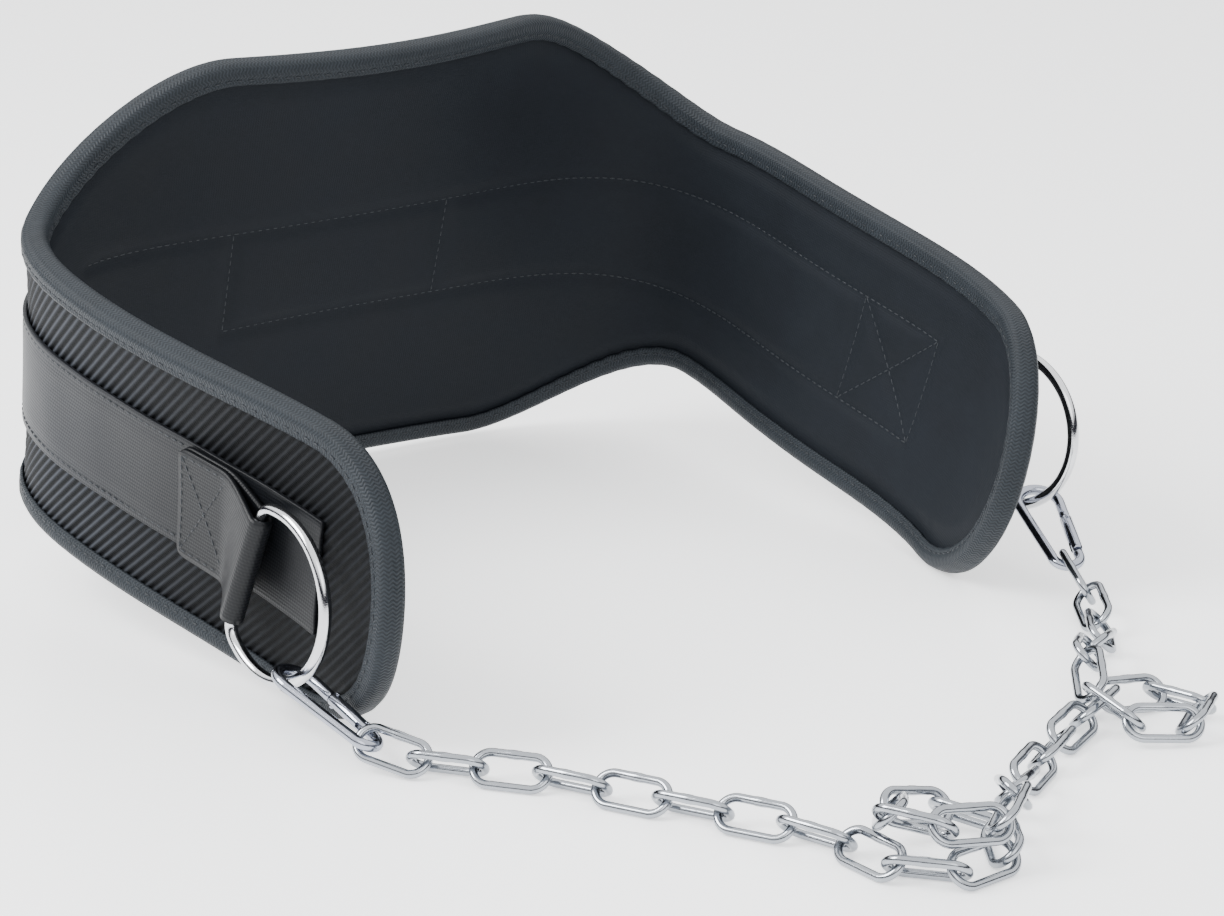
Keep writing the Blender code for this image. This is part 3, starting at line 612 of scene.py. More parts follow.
# %% Outline of the belt, evenly walked
# Each corner of the section in millimetres: depth from the edge, place through the wall
TAPE_SECTION = (
    (7.7, -3.5), (7.5, -4.2), (6.5, -4.5), (5.4, -4.25), (4.3, -4.5), (2.4, -4.5), (0.9, -3.7), (0.15, -2.2),
    (0.0, -0.8), (0.0, 0.8), (0.15, 2.2), (0.9, 3.7), (2.4, 4.5), (4.3, 4.5), (5.4, 4.25), (6.5, 4.5), (7.5, 4.2),
    (7.7, 3.5), (6.6, 3.4), (2.3, 3.4), (1.2, 2.2), (1.1, 0.0), (1.2, -2.2), (2.3, -3.4), (6.6, -3.4),
)
STITCH_GROOVE = 5.4 * MM
TAPE_STATIONS = 1040
PUCKERS = 210


def outline_walk(count):
    """Evenly spaced points of the flat outline with the direction into the belt."""
    points = []
    fine = 400
    for step in range(fine):
        along = END_ROUNDING + (BELT_LENGTH - 2 * END_ROUNDING) * step / fine
        points.append((along, half_width(along)))
    for step in range(fine):
        angle = math.pi / 2 - math.pi * step / fine
        points.append((BELT_LENGTH - END_ROUNDING + END_ROUNDING * math.cos(angle),
                       ARM_WIDTH / 2 * math.sin(angle)))
    for step in range(fine):
        along = BELT_LENGTH - END_ROUNDING - (BELT_LENGTH - 2 * END_ROUNDING) * step / fine
        points.append((along, -half_width(along)))
    for step in range(fine):
        angle = -math.pi / 2 - math.pi * step / fine
        points.append((END_ROUNDING + END_ROUNDING * math.cos(angle), ARM_WIDTH / 2 * math.sin(angle)))
    lengths = [0.0]
    for here, there in zip(points, points[1:] + points[:1]):
        lengths.append(lengths[-1] + math.hypot(there[0] - here[0], there[1] - here[1]))
    stations = []
    low = 0
    for station in range(count):
        wanted = lengths[-1] * station / count
        while lengths[low + 1] < wanted:
            low += 1
        t = (wanted - lengths[low]) / (lengths[low + 1] - lengths[low])
        here, there = points[low], points[(low + 1) % len(points)]
        run = math.hypot(there[0] - here[0], there[1] - here[1])
        inward = ((there[1] - here[1]) / run, -(there[0] - here[0]) / run)
        spot = (here[0] + (there[0] - here[0]) * t, here[1] + (there[1] - here[1]) * t)
        stations.append((*spot, *inward, wanted))
    return stations, lengths[-1]


stations, outline_length = outline_walk(TAPE_STATIONS)
print("outline of the belt:", round(outline_length, 3), "m")

# %% [markdown]
# ## Folding the tape
# Sewing pulls a tape into small even waves, deepest where the belt turns sharply. They are added to the
# section as it goes round, so that they show at the outline too.

# %% Make the binding tape
tape = active_after_clearing(bpy.ops.mesh.primitive_grid_add, x_subdivisions=TAPE_STATIONS,
                             y_subdivisions=len(TAPE_SECTION), size=2)
section_run = [0.0]
for here, there in zip(TAPE_SECTION, TAPE_SECTION[1:] + TAPE_SECTION[:1]):
    section_run.append(section_run[-1] + math.hypot(there[0] - here[0], there[1] - here[1]))


def tape_place(station, corner):
    """Flat place of one corner of the tape, with the small waves that sewing leaves in it."""
    along, across, inward_x, inward_y, walked = stations[station]
    depth, outward = TAPE_SECTION[corner]
    turn = abs(straight_value(TURN_RATES, along / BELT_LENGTH))
    pucker = math.sin(2 * math.pi * station * PUCKERS / TAPE_STATIONS + outward * 0.4) * (0.06 + 0.016 * turn)
    slack = noise.noise(Vector((along * 45, across * 45, 1.7))) * 0.25
    depth = depth + (pucker * 0.5 + slack * 0.5) * (1 if depth > 3 else 0.4)
    outward = outward * (1 + 0.035 * pucker + 0.02 * slack)
    return along + inward_x * depth * MM, across + inward_y * depth * MM, outward * MM


grid_steps = []
for vertex in tape.data.vertices:
    station = int(round((vertex.co.x + 1) / 2 * TAPE_STATIONS))
    corner = int(round((vertex.co.y + 1) / 2 * len(TAPE_SECTION)))
    grid_steps.append((station, corner))
    vertex.co = (outline_length * station / TAPE_STATIONS, section_run[corner] * MM, 0)
keep_flat_map(tape)
for vertex, (station, corner) in zip(tape.data.vertices, grid_steps):
    vertex.co = bend(*tape_place(station % TAPE_STATIONS, corner % len(TAPE_SECTION)))
face_outward(tape)
hand_over(tape, "edge_tape", "binding_tape", TAPE, "edge_binding")

# %% [markdown]
# ## Strap webbing
# The strap is one flat length of webbing sewn along the outside. It has thick edges and lies in very
# shallow waves between its seams. A grid with a thickness gives this directly.

# %% Make the strap
strap_columns, strap_rows = 320, 14
strap = active_after_clearing(bpy.ops.mesh.primitive_grid_add, x_subdivisions=strap_columns,
                              y_subdivisions=strap_rows, size=2)
for vertex in strap.data.vertices:
    share = (vertex.co.x + 1) / 2
    vertex.co = (STRAP_END + (BELT_LENGTH - 2 * STRAP_END) * share, vertex.co.y * STRAP_WIDTH / 2, 0)
keep_flat_map(strap)
apply_modifier(strap, "SOLIDIFY", thickness=STRAP_THICK, offset=1.0)
apply_modifier(strap, "BEVEL", width=0.35 * MM, segments=2, limit_method="ANGLE")
for vertex in strap.data.vertices:
    along, across, through = vertex.co
    if through > 0.5 * STRAP_THICK:
        edge = min(max((abs(across) / (STRAP_WIDTH / 2) - 0.86) / 0.1, 0.0), 1.0)
        groove = math.exp(-((abs(across) - 17.6 * MM) / (0.8 * MM)) ** 2)
        wave = noise.noise(Vector((along * 55, across * 12, 4.1))) * 0.28 * MM
        through += wave - 0.35 * MM * groove - 0.1 * MM * edge
    vertex.co = bend(along, across, STRAP_INNER + through)
face_outward(strap)
hand_over(strap, "waist_strap", "strap_webbing", WEBBING, "waist_webbing")

# %% [markdown]
# ## Finding the hardware
# The rings, snap links and chain links lie at odd angles. Their places aren't repeated here: each solid
# tells its own. The directions in which a set of points spreads most and least are found with the power
# method, and they are the long, middle and thin directions of a link or ring.


# %% Directions of a solid from its points
def spread_axes(points):
    """Middle of some points and their directions, from the longest spread to the shortest."""
    low = Vector([min(p[k] for p in points) for k in range(3)])
    high = Vector([max(p[k] for p in points) for k in range(3)])
    middle = sum(points, Vector()) / len(points)
    spread = Matrix(((0, 0, 0), (0, 0, 0), (0, 0, 0)))
    for point in points:
        arm = point - middle
        for row in range(3):
            for column in range(3):
                spread[row][column] += arm[row] * arm[column] / (high - low).length_squared
    axes = []
    for _ in range(2):
        axis = Vector((0.31, 0.57, 0.76))
        for _ in range(400):
            axis = spread @ axis
            for found in axes:
                axis -= found * axis.dot(found)
            axis.normalize()
        axes.append(axis)
    axes.append(axes[0].cross(axes[1]))
    return middle, axes


def points_of(node):
    """Different corners of a solid."""
    corners = frame["nodes"][node].data.vertices
    seen = {tuple(round(c, 5) for c in vertex.co): vertex.co.copy() for vertex in corners}
    return list(seen.values())


def joint_of(node):
    """Place and direction of the hinge that carries a node's body."""
    for joint in frame["record"]["behaviour"]["joints"]:
        if joint["child"] == node:
            return Vector(joint["pos_m"]), Vector(joint["axis"]).normalized()


# %% [markdown]
# ## Steel finishes
# The rings and snap links are polished and plated, the chain is plated and a little duller. Polished
# steel takes its look from what it reflects, so the material only adds faint scratches and a slightly
# uneven gloss.


# %% Polished and plated steel
def steel_look(name, colour, roughness, scratch):
    material, shader, uv, place = start_material(name, Metallic=1.0, Specular_IOR_Level=0.5)
    cloud = noise_of(place, 120.0, 3.0)
    stretched = place.node("ShaderNodeMapping", {}, {"Vector": place, "Scale": (1.0, 1.0, 9.0)})
    fine = noise_of(stretched, 900.0, 4.0, 0.7)
    tone = mix_colours(cloud * 0.6 + fine * 0.4, tuple(0.82 * c for c in colour), colour)
    gloss = cloud * scratch + fine * scratch + (roughness - scratch)
    finish_material(shader, tone, gloss, fine, 0.00003, 0.4)
    return material


RING_STEEL = steel_look("ring steel", (0.66, 0.67, 0.69), 0.10, 0.05)
SNAP_STEEL = steel_look("snap steel", (0.36, 0.38, 0.44), 0.15, 0.06)
CHAIN_STEEL = steel_look("chain steel", (0.34, 0.36, 0.39), 0.15, 0.08)
print("steel finishes:", RING_STEEL.name, SNAP_STEEL.name, CHAIN_STEEL.name)

# %% [markdown]
# ## Chain links
# A link is a closed loop of round wire with two straight sides. It is modelled once: a torus is pulled
# apart in the middle, and the small swelling of the weld is added on one side. Each copy has its own mesh
# and is laid exactly where its solid lies.

# %% Model one link
LINK_WIRE = 2.7 * MM
LINK_INNER_LENGTH = 20.5 * MM
LINK_OUTER_WIDTH = 13.0 * MM
bow = (LINK_OUTER_WIDTH - LINK_WIRE) / 2
straight_half = LINK_INNER_LENGTH / 2 + LINK_WIRE / 2 - bow
pattern_link = active_after_clearing(bpy.ops.mesh.primitive_torus_add, major_segments=56, minor_segments=16,
                                     major_radius=bow, minor_radius=LINK_WIRE / 2)
for vertex in pattern_link.data.vertices:
    vertex.co.x += math.copysign(straight_half, vertex.co.x) if abs(vertex.co.x) > 1e-7 else straight_half
bpy.ops.object.mode_set(mode="EDIT")
bpy.ops.mesh.select_all(action="SELECT")
for cut in (-2.4, -0.9, 0.9, 2.4):
    bpy.ops.mesh.select_all(action="SELECT")
    bpy.ops.mesh.bisect(plane_co=(cut * MM, 0, 0), plane_no=(1, 0, 0), use_fill=False)
bpy.ops.object.mode_set(mode="OBJECT")
for vertex in pattern_link.data.vertices:
    if vertex.co.y > 0 and abs(vertex.co.x) < 1.2 * MM:
        arm = Vector((0, vertex.co.y - bow, vertex.co.z))
        vertex.co += arm * 0.10
print("one link:", len(pattern_link.data.polygons), "faces")

# %% [markdown]
# ## The chain
# A chain could be solved by physics, but it has to lie where its solids lie. So each copy is turned to
# the three directions of its own solid.

# %% Lay a copy in the place of every link
chain_nodes = sorted(name for name in frame["nodes"] if name.startswith("chain_link_"))
for node in chain_nodes:
    middle, (along, side, square) = spread_axes(points_of(node))
    link = pattern_link.copy()
    link.data = pattern_link.data.copy()
    bpy.context.scene.collection.objects.link(link)
    turn = Matrix((along, side, square)).transposed().to_4x4()
    link.data.transform(Matrix.Translation(middle) @ turn)
    face_outward(link)
    hand_over(link, node.replace("chain_link", "steel_link"), "chain_steel", CHAIN_STEEL, node)
bpy.data.objects.remove(pattern_link, do_unlink=True)
print("chain of", len(chain_nodes), "links")

# %% [markdown]
# ## D rings
# A D ring is a bent rod with a straight bar for the strap. Again a torus is the start, and its long way
# is laid on the ring's own line: the bar, two tight corners and one large arc.

# %% Line of a ring in its own plane
RING_WIRE = 4.0 * MM
RING_BAR = 44.7 * MM
RING_ROUND = 26.9 * MM
RING_CORNER = 3.2 * MM


def ring_line(count):
    """Evenly spaced points of the ring's middle line: x away from the bar, y along it."""
    middle = math.sqrt(RING_ROUND ** 2 - RING_BAR ** 2 / 4)
    start = math.atan2(RING_BAR / 2, -middle)
    raw = [Vector((middle + RING_ROUND * math.cos(start - 2 * start * k / 240),
                   RING_ROUND * math.sin(start - 2 * start * k / 240))) for k in range(241)]
    raw += [Vector((0, -RING_BAR / 2 + RING_BAR * k / 120)) for k in range(1, 120)]
    lengths = [0.0]
    for here, there in zip(raw, raw[1:] + raw[:1]):
        lengths.append(lengths[-1] + (there - here).length)
    dense = []
    low = 0
    for step in range(720):
        wanted = lengths[-1] * step / 720
        while lengths[low + 1] < wanted:
            low += 1
        t = (wanted - lengths[low]) / (lengths[low + 1] - lengths[low])
        dense.append(raw[low].lerp(raw[(low + 1) % len(raw)], t))
    window = int(RING_CORNER * 1.5 / (lengths[-1] / 720))
    rounded = []
    for index in range(0, 720, 720 // count):
        near = [dense[(index + k) % 720] for k in range(-window, window + 1)]
        rounded.append(sum(near, Vector((0, 0))) / len(near))
    return rounded


# %% [markdown]
# ## Wire round a ring
# The rod keeps its round section all along, so each ring of the torus is set square to the line at its
# place.

# %% Make both rings
def wire_round(name, line, wire, minor):
    """Closed wire along a line of points in one plane; x and y of the line, z square to it."""
    obj = active_after_clearing(bpy.ops.mesh.primitive_torus_add, major_segments=len(line),
                                minor_segments=minor, major_radius=1.0, minor_radius=0.1)
    for vertex in obj.data.vertices:
        station, corner = divmod(vertex.index, minor)
        ahead, behind = line[(station + 1) % len(line)], line[station - 1]
        way = (ahead - behind).normalized()
        out = Vector((way.y, -way.x))
        angle = 2 * math.pi * corner / minor
        shift = out * math.cos(angle) * wire / 2
        vertex.co = (line[station].x + shift.x, line[station].y + shift.y, math.sin(angle) * wire / 2)
    return obj


def ring_axes(side):
    """Middle of a ring's bar, the directions away from it, along it and square to the ring."""
    points = points_of("d_ring_" + side)
    middle, axes = spread_axes(points)
    loop_low, loop_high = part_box("ring_loop_" + side)
    from_loop = middle - (Vector(loop_low) + Vector(loop_high)) / 2
    square = axes[2]
    away, bar = axes[0], axes[1]
    if abs(bar.dot(from_loop)) > abs(away.dot(from_loop)):
        away, bar = bar, away
    away = away * math.copysign(1, away.dot(from_loop))
    bar = bar * math.copysign(1, bar.z)
    square = away.cross(bar)
    nearest = min((p - middle).dot(away) for p in points)
    bar_spans = [(p - middle).dot(bar) for p in points]
    centre = middle + away * (nearest + RING_WIRE / 2) + bar * (max(bar_spans) + min(bar_spans)) / 2
    return centre, away, bar, square


for side in ("left", "right"):
    ring = wire_round("ring", ring_line(180), RING_WIRE, 20)
    centre, away, bar, square = ring_axes(side)
    turn = Matrix((away, bar, square)).transposed().to_4x4()
    ring.data.transform(Matrix.Translation(centre) @ turn)
    face_outward(ring)
    hand_over(ring, "steel_ring_" + side, "ring_steel", RING_STEEL, "d_ring_" + side)

# %% [markdown]
# ## Loops of the rings
# The strap's end is folded round each ring's bar and sewn back on itself. A coarse grid is laid along the
# fold, the subdivision modifier rounds it as cloth would, and a thickness makes it webbing.

# %% Make both loops
LOOP_SEAM_FROM_TIP = 101 * MM
LOOP_SEAM_LENGTH = 24 * MM
LOOP_WIDTH_ON_BAR = 38 * MM
LOOP_LOW = STRAP_OUTER + 0.8 * MM
LOOP_TURNS = (118, 90, 60, 30, 0, -30, -60, -88, -104)


def loop_path(side, share):
    """Middle of the folded strap's cloth at one share across it."""
    centre, away, bar, square = ring_axes(side)
    flat = 1 if side == "left" else -1
    seam = LOOP_SEAM_FROM_TIP
    seam_end = LOOP_SEAM_FROM_TIP - LOOP_SEAM_LENGTH
    across = share * STRAP_WIDTH / 2
    outward = (bend(0.3 * seam, 0, 5 * MM) - bend(0.3 * seam, 0, 0)) if flat > 0 else (
        bend(BELT_LENGTH - 0.3 * seam, 0, 5 * MM) - bend(BELT_LENGTH - 0.3 * seam, 0, 0))
    out = square * math.copysign(1, square.dot(outward))
    radius = RING_WIRE / 2 + 0.5 * MM + STRAP_THICK / 2

    def sewn(from_tip, height):
        along = from_tip if flat > 0 else BELT_LENGTH - from_tip
        return bend(along, across, height)

    top = LOOP_LOW + 1.5 * STRAP_THICK + 0.3 * MM
    low = LOOP_LOW + 0.5 * STRAP_THICK
    path = [sewn(seam - LOOP_SEAM_LENGTH * k / 4, top) for k in range(5)]
    for angle in LOOP_TURNS:
        way = away * math.cos(math.radians(angle)) + out * math.sin(math.radians(angle))
        path.append(centre + bar * share * LOOP_WIDTH_ON_BAR / 2 + way * radius)
    path += [sewn(seam_end + LOOP_SEAM_LENGTH * k / 4, low) for k in range(5)]
    return path


for side in ("left", "right"):
    rows = 6
    paths = [loop_path(side, -1 + 2 * k / rows) for k in range(rows + 1)]
    columns = len(paths[0]) - 1
    loop = active_after_clearing(bpy.ops.mesh.primitive_grid_add, x_subdivisions=columns,
                                 y_subdivisions=rows, size=2)
    runs = [0.0]
    for here, there in zip(paths[rows // 2], paths[rows // 2][1:]):
        runs.append(runs[-1] + (there - here).length)
    for vertex in loop.data.vertices:
        column = int(round((vertex.co.x + 1) / 2 * columns))
        vertex.co = (runs[column], vertex.co.y * STRAP_WIDTH / 2, 0)
    keep_flat_map(loop)
    for vertex in loop.data.vertices:
        column = min(range(columns + 1), key=lambda k: abs(runs[k] - vertex.co.x))
        row = int(round((vertex.co.y / (STRAP_WIDTH / 2) + 1) / 2 * rows))
        vertex.co = paths[row][column]
    apply_modifier(loop, "SUBSURF", levels=2, render_levels=2)
    apply_modifier(loop, "SOLIDIFY", thickness=STRAP_THICK, offset=0.0)
    face_outward(loop)
    hand_over(loop, "strap_loop_" + side, "strap_webbing", WEBBING, "ring_loop_" + side)
    "steel_ring_" + side

# %% [markdown]
# ## Snap links
# Each snap link is a pear-shaped loop of wire with a sprung gate on one side. The hinge of the gate is
# known from the joint, and the gate's own length gives the direction of that side, so the whole link can
# be drawn in its own plane and then laid in place.

# %% Plane of a snap link
SNAP_LENGTH = 44 * MM
SNAP_WIRE = 3.6 * MM
SNAP_RING_BOW = 7.4 * MM
SNAP_CHAIN_BOW = 4.8 * MM
GATE_WIRE = 4.2 * MM
GATE_START = 18.0 * MM
GATE_END = 34.8 * MM
HINGE_PLACE = 33.6 * MM
FRAME_END = 35.9 * MM
ring_bow_x = SNAP_WIRE / 2 + SNAP_RING_BOW
chain_bow_x = SNAP_LENGTH - SNAP_WIRE / 2 - SNAP_CHAIN_BOW
taper = math.asin((SNAP_RING_BOW - SNAP_CHAIN_BOW) / (chain_bow_x - ring_bow_x))


def gate_height(x):
    """Height of the gate's side above the middle of the snap link."""
    start_x = ring_bow_x + SNAP_RING_BOW * math.sin(taper)
    return SNAP_RING_BOW * math.cos(taper) - (x - start_x) * math.tan(taper)


def snap_plane(side):
    """Matrix that lays a drawing, x along the snap link and y to its gate, in the link's place."""
    hinge, square = joint_of("snap_gate_" + side)
    middle, axes = spread_axes(points_of("snap_gate_" + side))
    gate_way = axes[0] * math.copysign(1, axes[0].dot(hinge - middle))
    gate_way = (gate_way - square * gate_way.dot(square)).normalized()
    sideways = square.cross(gate_way)
    along = gate_way * math.cos(taper) + sideways * math.sin(taper)
    to_gate = sideways * math.cos(taper) - gate_way * math.sin(taper)
    origin = hinge - along * HINGE_PLACE - to_gate * gate_height(HINGE_PLACE)
    return Matrix.Translation(origin) @ Matrix((along, to_gate, square)).transposed().to_4x4()


# %% [markdown]
# ## Frame and gate
# The frame is one bent wire with a flat tongue that the slotted gate turns on, and a cross pin holds the
# nose. The tongue and the pins are joined and the slot is cut by booleans, as a milled part would be.

# %% Draw the frame's wire and the gate
def open_wire(line, wire, minor, blunt):
    """Wire along an open line, with rounded edges at both ends."""
    bpy.ops.object.select_all(action="DESELECT")
    bpy.ops.mesh.primitive_cylinder_add(vertices=minor, radius=1, depth=2, end_fill_type="NGON")
    obj = bpy.context.active_object
    bpy.ops.object.mode_set(mode="EDIT")
    bpy.ops.mesh.select_all(action="SELECT")
    cuts = len(line) - 2
    for k in range(1, cuts + 1):
        bpy.ops.mesh.select_all(action="SELECT")
        bpy.ops.mesh.bisect(plane_co=(0, 0, -1 + 2 * k / (cuts + 1)), plane_no=(0, 0, 1), use_fill=False)
    bpy.ops.object.mode_set(mode="OBJECT")
    for vertex in obj.data.vertices:
        station = int(round((vertex.co.z + 1) / 2 * (len(line) - 1)))
        ahead = line[min(station + 1, len(line) - 1)]
        behind = line[max(station - 1, 0)]
        way = (ahead - behind).normalized()
        out = Vector((way.y, -way.x))
        thin = blunt if station in (0, len(line) - 1) else 1.0
        x, y = vertex.co.x * wire / 2 * thin, vertex.co.y * wire / 2 * thin
        vertex.co = (line[station].x + out.x * x, line[station].y + out.y * x, y)
    return obj


def snap_frame_line():
    """Middle line of the frame's wire from its nose round both bows to the gate's hinge."""
    nose = GATE_START - 0.5 * MM
    line = [Vector((nose, gate_height(nose))), Vector((nose - 0.4 * MM, gate_height(nose - 0.4 * MM)))]
    line += [Vector((nose - k * MM, gate_height(nose - k * MM))) for k in (2, 4, 6)]
    for step in range(25):
        angle = math.pi / 2 - taper + (math.pi + 2 * taper) * step / 24
        line.append(Vector((ring_bow_x + SNAP_RING_BOW * math.cos(angle), SNAP_RING_BOW * math.sin(angle))))
    for step in range(21):
        angle = -math.pi / 2 - taper + (math.pi + 2 * taper) * step / 20
        line.append(Vector((chain_bow_x + SNAP_CHAIN_BOW * math.cos(angle),
                            SNAP_CHAIN_BOW * math.sin(angle))))
    line.append(Vector((FRAME_END + 0.4 * MM, gate_height(FRAME_END + 0.4 * MM))))
    line.append(Vector((FRAME_END, gate_height(FRAME_END))))
    return line


def snap_block(centre, size, turn):
    """Small block in the snap link's plane."""
    obj = active_after_clearing(bpy.ops.mesh.primitive_cube_add, size=1)
    turned = Matrix.Rotation(turn, 4, "Z") @ Matrix.Diagonal((*size, 1))
    obj.data.transform(Matrix.Translation(centre) @ turned)
    return obj


def snap_rod(x, length, diameter):
    """Small rod square to the snap link's plane, on the gate's side."""
    obj = active_after_clearing(bpy.ops.mesh.primitive_cylinder_add, vertices=20, radius=diameter / 2,
                                depth=length)
    obj.data.transform(Matrix.Translation((x, gate_height(x), 0)))
    apply_modifier(obj, "BEVEL", width=diameter * 0.12, segments=2, limit_method="ANGLE")
    return obj


def join_or_cut(target, other, operation):
    """Boolean of two solids; the second is removed."""
    apply_modifier(target, "BOOLEAN", operation=operation, solver="EXACT", object=other)
    bpy.data.objects.remove(other, do_unlink=True)


for side in ("left", "right"):
    place = snap_plane(side)
    wire = open_wire(snap_frame_line(), SNAP_WIRE, 20, 0.86)
    tang_x = (HINGE_PLACE - 1.4 * MM + FRAME_END + 1.2 * MM) / 2
    tang = snap_block((tang_x, gate_height(tang_x), 0), (5.0 * MM, 3.2 * MM, 1.2 * MM), -taper)
    join_or_cut(wire, tang, "UNION")
    wire.data.transform(place)
    face_outward(wire)
    bpy.ops.object.shade_smooth_by_angle(angle=math.radians(40))
    hand_over(wire, "snap_frame_" + side, "snap_steel", SNAP_STEEL, "snap_link_" + side)

    spots = [GATE_START, GATE_START + 0.5 * MM, (GATE_START + GATE_END) / 2, GATE_END - 0.5 * MM, GATE_END]
    gate = open_wire([Vector((x, gate_height(x))) for x in spots], GATE_WIRE, 24, 0.84)
    slot_x = (HINGE_PLACE - 2.4 * MM + GATE_END + 2 * MM) / 2
    slot = snap_block((slot_x, gate_height(slot_x), 0), (5.6 * MM, 8.4 * MM, 1.8 * MM), -taper)
    join_or_cut(gate, slot, "DIFFERENCE")
    join_or_cut(gate, snap_rod(HINGE_PLACE, 4.5 * MM, 1.5 * MM), "UNION")
    join_or_cut(gate, snap_rod(GATE_START + 1.2 * MM, 5.4 * MM, 1.3 * MM), "UNION")
    gate.data.transform(place)
    face_outward(gate)
    bpy.ops.object.shade_smooth_by_angle(angle=math.radians(40))
    gate.name = "snap_lever_" + side
    gate.data.materials.append(SNAP_STEEL)
    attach(gate, "snap_gate_" + side)
    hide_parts("snap_gate_" + side)
    print(gate.name, "has", len(gate.data.polygons), "faces")

# %% [markdown]
# ## Stitches
# Rows of thread show on the binding, along the strap and in the crossed box of each loop. One stitch is a
# tiny flattened ball. It is copied along each seam, turned along the seam and half sunk in the cloth.

# %% Copy one stitch along a seam
STITCH_LENGTH = 2.3 * MM
STITCH_PITCH = 3.1 * MM
STITCH_WIDTH = 0.62 * MM
pattern_stitch = active_after_clearing(bpy.ops.mesh.primitive_uv_sphere_add, segments=6, ring_count=5,
                                       radius=0.5)
pattern_stitch.data.transform(Matrix.Rotation(math.pi / 2, 4, "Y"))


def add_stitches(edit, places):
    """Copies of the stitch along a row of places, each with the direction out of the cloth."""
    for (here, out), (there, _) in zip(places, places[1:]):
        way = (there - here).normalized()
        side = out.cross(way).normalized()
        across_seam = side * STITCH_WIDTH
        turn = Matrix((way * STITCH_LENGTH, across_seam, way.cross(side) * STITCH_WIDTH)).transposed().to_4x4()
        start = len(edit.verts)
        edit.from_mesh(pattern_stitch.data)
        edit.verts.ensure_lookup_table()
        for vertex in edit.verts[start:]:
            vertex.co = Matrix.Translation((here + there) / 2) @ turn @ vertex.co


def flat_seam(start, end, face):
    """Places at the stitch pitch along a straight flat seam, on one face of the belt's wall."""
    length = math.hypot(end[0] - start[0], end[1] - start[1])
    count = max(int(length / STITCH_PITCH), 1)
    places = []
    for k in range(count + 1):
        along = start[0] + (end[0] - start[0]) * k / count
        across = start[1] + (end[1] - start[1]) * k / count
        height = face(along, across)
        here = bend(along, across, height)
        out = (bend(along, across, height + 1 * MM) - here).normalized()
        places.append((here, out))
    return places


def sew(name, slot, rows):
    """One piece with all stitches of some rows."""
    mesh = bpy.data.meshes.new(name)
    edit = bmesh.new()
    for places in rows:
        add_stitches(edit, places)
    edit.to_mesh(mesh)
    edit.free()
    obj = bpy.data.objects.new(name, mesh)
    bpy.context.scene.collection.objects.link(obj)
    for face in mesh.polygons:
        face.use_smooth = True
    hand_over(obj, name, slot, THREAD)


# %% [markdown]
# ## Sewing
# Each seam is a row of flat places with the height of the face that it is sewn into, so the same function
# serves the strap, the crossed boxes and the lining. The tape's two rows follow its walked outline instead.

# %% Sew the binding, the strap, the loops and the lining
tape_rows = []
for sign in (-1, 1):
    row = []
    for station in range(0, TAPE_STATIONS + 1):
        along, across, inward_x, inward_y, walked = stations[station % TAPE_STATIONS]
        flat = (along + inward_x * STITCH_GROOVE, across + inward_y * STITCH_GROOVE)
        here = bend(*flat, sign * 4.35 * MM)
        row.append((here, (bend(*flat, sign * 5.35 * MM) - here).normalized()))
    spaced = [row[0]]
    for place in row[1:]:
        if (place[0] - spaced[-1][0]).length >= STITCH_PITCH * 0.99:
            spaced.append(place)
    tape_rows.append(spaced)
sew("tape_stitches", "binding_tape", tape_rows)

STRAP_SEAM = 17.6 * MM
seam_from = LOOP_SEAM_FROM_TIP + 2 * MM
STITCH_SINK = 0.2 * MM
LAYER_GAP = 0.3 * MM


def strap_face(along, across):
    """Height of the strap's outer face, a little sunk by its stitches."""
    return STRAP_OUTER - STITCH_SINK


def loop_face(along, across):
    """Height of the outer face of a loop where it is sewn down."""
    return LOOP_LOW + 2 * STRAP_THICK + LAYER_GAP


strap_rows = []
for sign in (-1, 1):
    here, there = (seam_from, sign * STRAP_SEAM), (BELT_LENGTH - seam_from, sign * STRAP_SEAM)
    strap_rows.append(flat_seam(here, there, strap_face))
BOX_NEAR = 78.5 * MM
BOX_FAR = 99.5 * MM
for start, end in ((BOX_NEAR, BOX_FAR), (BELT_LENGTH - BOX_FAR, BELT_LENGTH - BOX_NEAR)):
    corners = [(start, -STRAP_SEAM), (end, -STRAP_SEAM), (end, STRAP_SEAM), (start, STRAP_SEAM)]
    for here, there in zip(corners, corners[1:] + corners[:1]):
        strap_rows.append(flat_seam(here, there, loop_face))
    strap_rows.append(flat_seam(corners[0], corners[2], loop_face))
    strap_rows.append(flat_seam(corners[1], corners[3], loop_face))
sew("strap_stitches", "strap_webbing", strap_rows)
lining_rows = [flat_seam(start, end, lining_face) for start, end in LINING_SEAMS]
sew("lining_stitches", "lining_cloth", lining_rows)
bpy.data.objects.remove(pattern_stitch, do_unlink=True)

# %% [markdown]
# ## Floor, light and camera
# The belt stands on a white floor that runs into a white surrounding. A large soft light from the left
# and behind gives the highlights on the strap and tape, and the surrounding is a little darker low in
# front, which puts the dark lines into the polished steel.

# %% Floor and lights
floor = active_after_clearing(bpy.ops.mesh.primitive_plane_add, size=12)
floor.name = "floor"
floor_material, floor_shader, floor_uv, floor_place = start_material("white floor", Roughness=0.32)
floor_shader.inputs["Base Color"].default_value = (0.86, 0.87, 0.88, 1.0)
floor_shader.inputs["Emission Color"].default_value = (1.0, 1.0, 1.0, 1.0)
floor_shader.inputs["Emission Strength"].default_value = 0.9
floor.data.materials.append(floor_material)

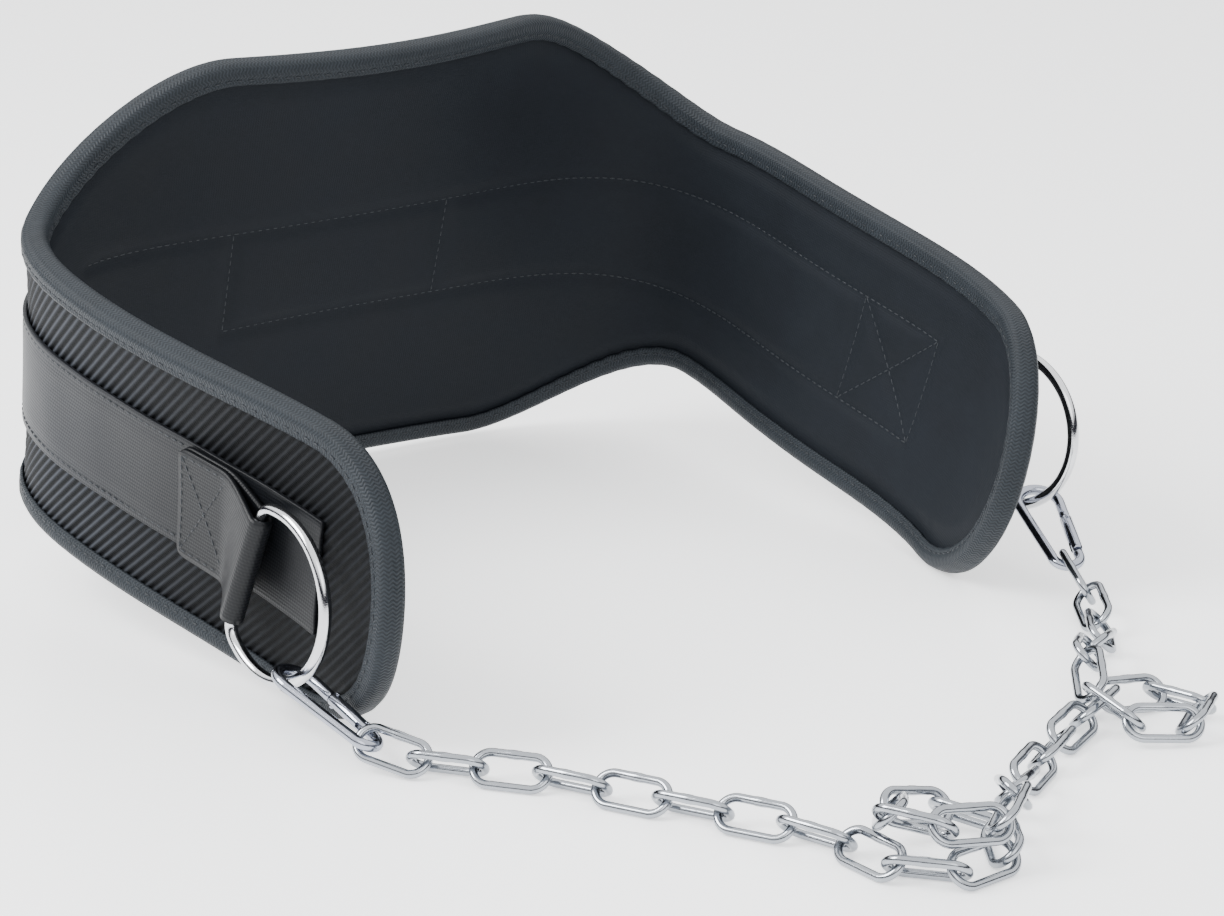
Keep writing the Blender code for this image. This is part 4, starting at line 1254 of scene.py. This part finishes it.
world = bpy.data.worlds.new("studio")
bpy.context.scene.world = world
world.use_nodes = True
background = world.node_tree.nodes["Background"]
coordinates = Value(world.node_tree, world.node_tree.nodes.new("ShaderNodeTexCoord").outputs["Generated"])
height = coordinates.node("ShaderNodeSeparateXYZ", {}, {0: coordinates}, 2)
SKY_STOPS = ((0.26, (0.015, 0.015, 0.02)), (0.46, (1.0, 1.0, 1.0)))
sky = height.node("ShaderNodeValToRGB", {"stops": SKY_STOPS}, {0: height})
world.node_tree.links.new(sky.socket, background.inputs["Color"])
background.inputs["Strength"].default_value = 2.3


def area_light(name, place, target, size, power):
    """Soft square light aimed at a point."""
    light = bpy.data.lights.new(name, "AREA")
    light.size = size
    light.energy = power
    lamp = bpy.data.objects.new(name, light)
    bpy.context.scene.collection.objects.link(lamp)
    lamp.location = place
    lamp.rotation_euler = (Vector(place) - Vector(target)).to_track_quat("Z", "Y").to_euler()


area_light("key light", (-1.3, 0.5, 1.3), (0, 0, 0.05), 0.9, 50)
area_light("front light", (-0.7, -1.6, 1.1), (0, 0, 0.05), 1.2, 10)

# %% [markdown]
# ## The camera
# A long lens from the front left, a little above, shows both arms and the chain. Its direction is given
# by two angles, and it looks at a point above the middle of the belt.

# %% Camera at the photograph's angle
AZIMUTH = math.radians(-36.537)
ELEVATION = math.radians(18.673)
DISTANCE = 1.07895
LENS_PER_WIDTH = 3315.35 / 1224
back = Vector((math.sin(AZIMUTH) * math.cos(ELEVATION), -math.cos(AZIMUTH) * math.cos(ELEVATION),
               math.sin(ELEVATION)))
right = Vector((math.cos(AZIMUTH), math.sin(AZIMUTH), 0))
up = back.cross(right)
aim = Vector((0, 0, 0.0606)) + right * 0.0000245 - up * 0.000976 + ORIGIN_SHIFT
camera_data = bpy.data.cameras.new("camera")
camera_data.sensor_width = 36
camera_data.lens = 36 * LENS_PER_WIDTH
camera_data.clip_start = 0.01
camera = bpy.data.objects.new("camera", camera_data)
bpy.context.scene.collection.objects.link(camera)
camera.location = aim + back * DISTANCE
camera.rotation_euler = back.to_track_quat("Z", "Y").to_euler()
bpy.context.scene.camera = camera
print("camera at", [round(v, 3) for v in camera.location])
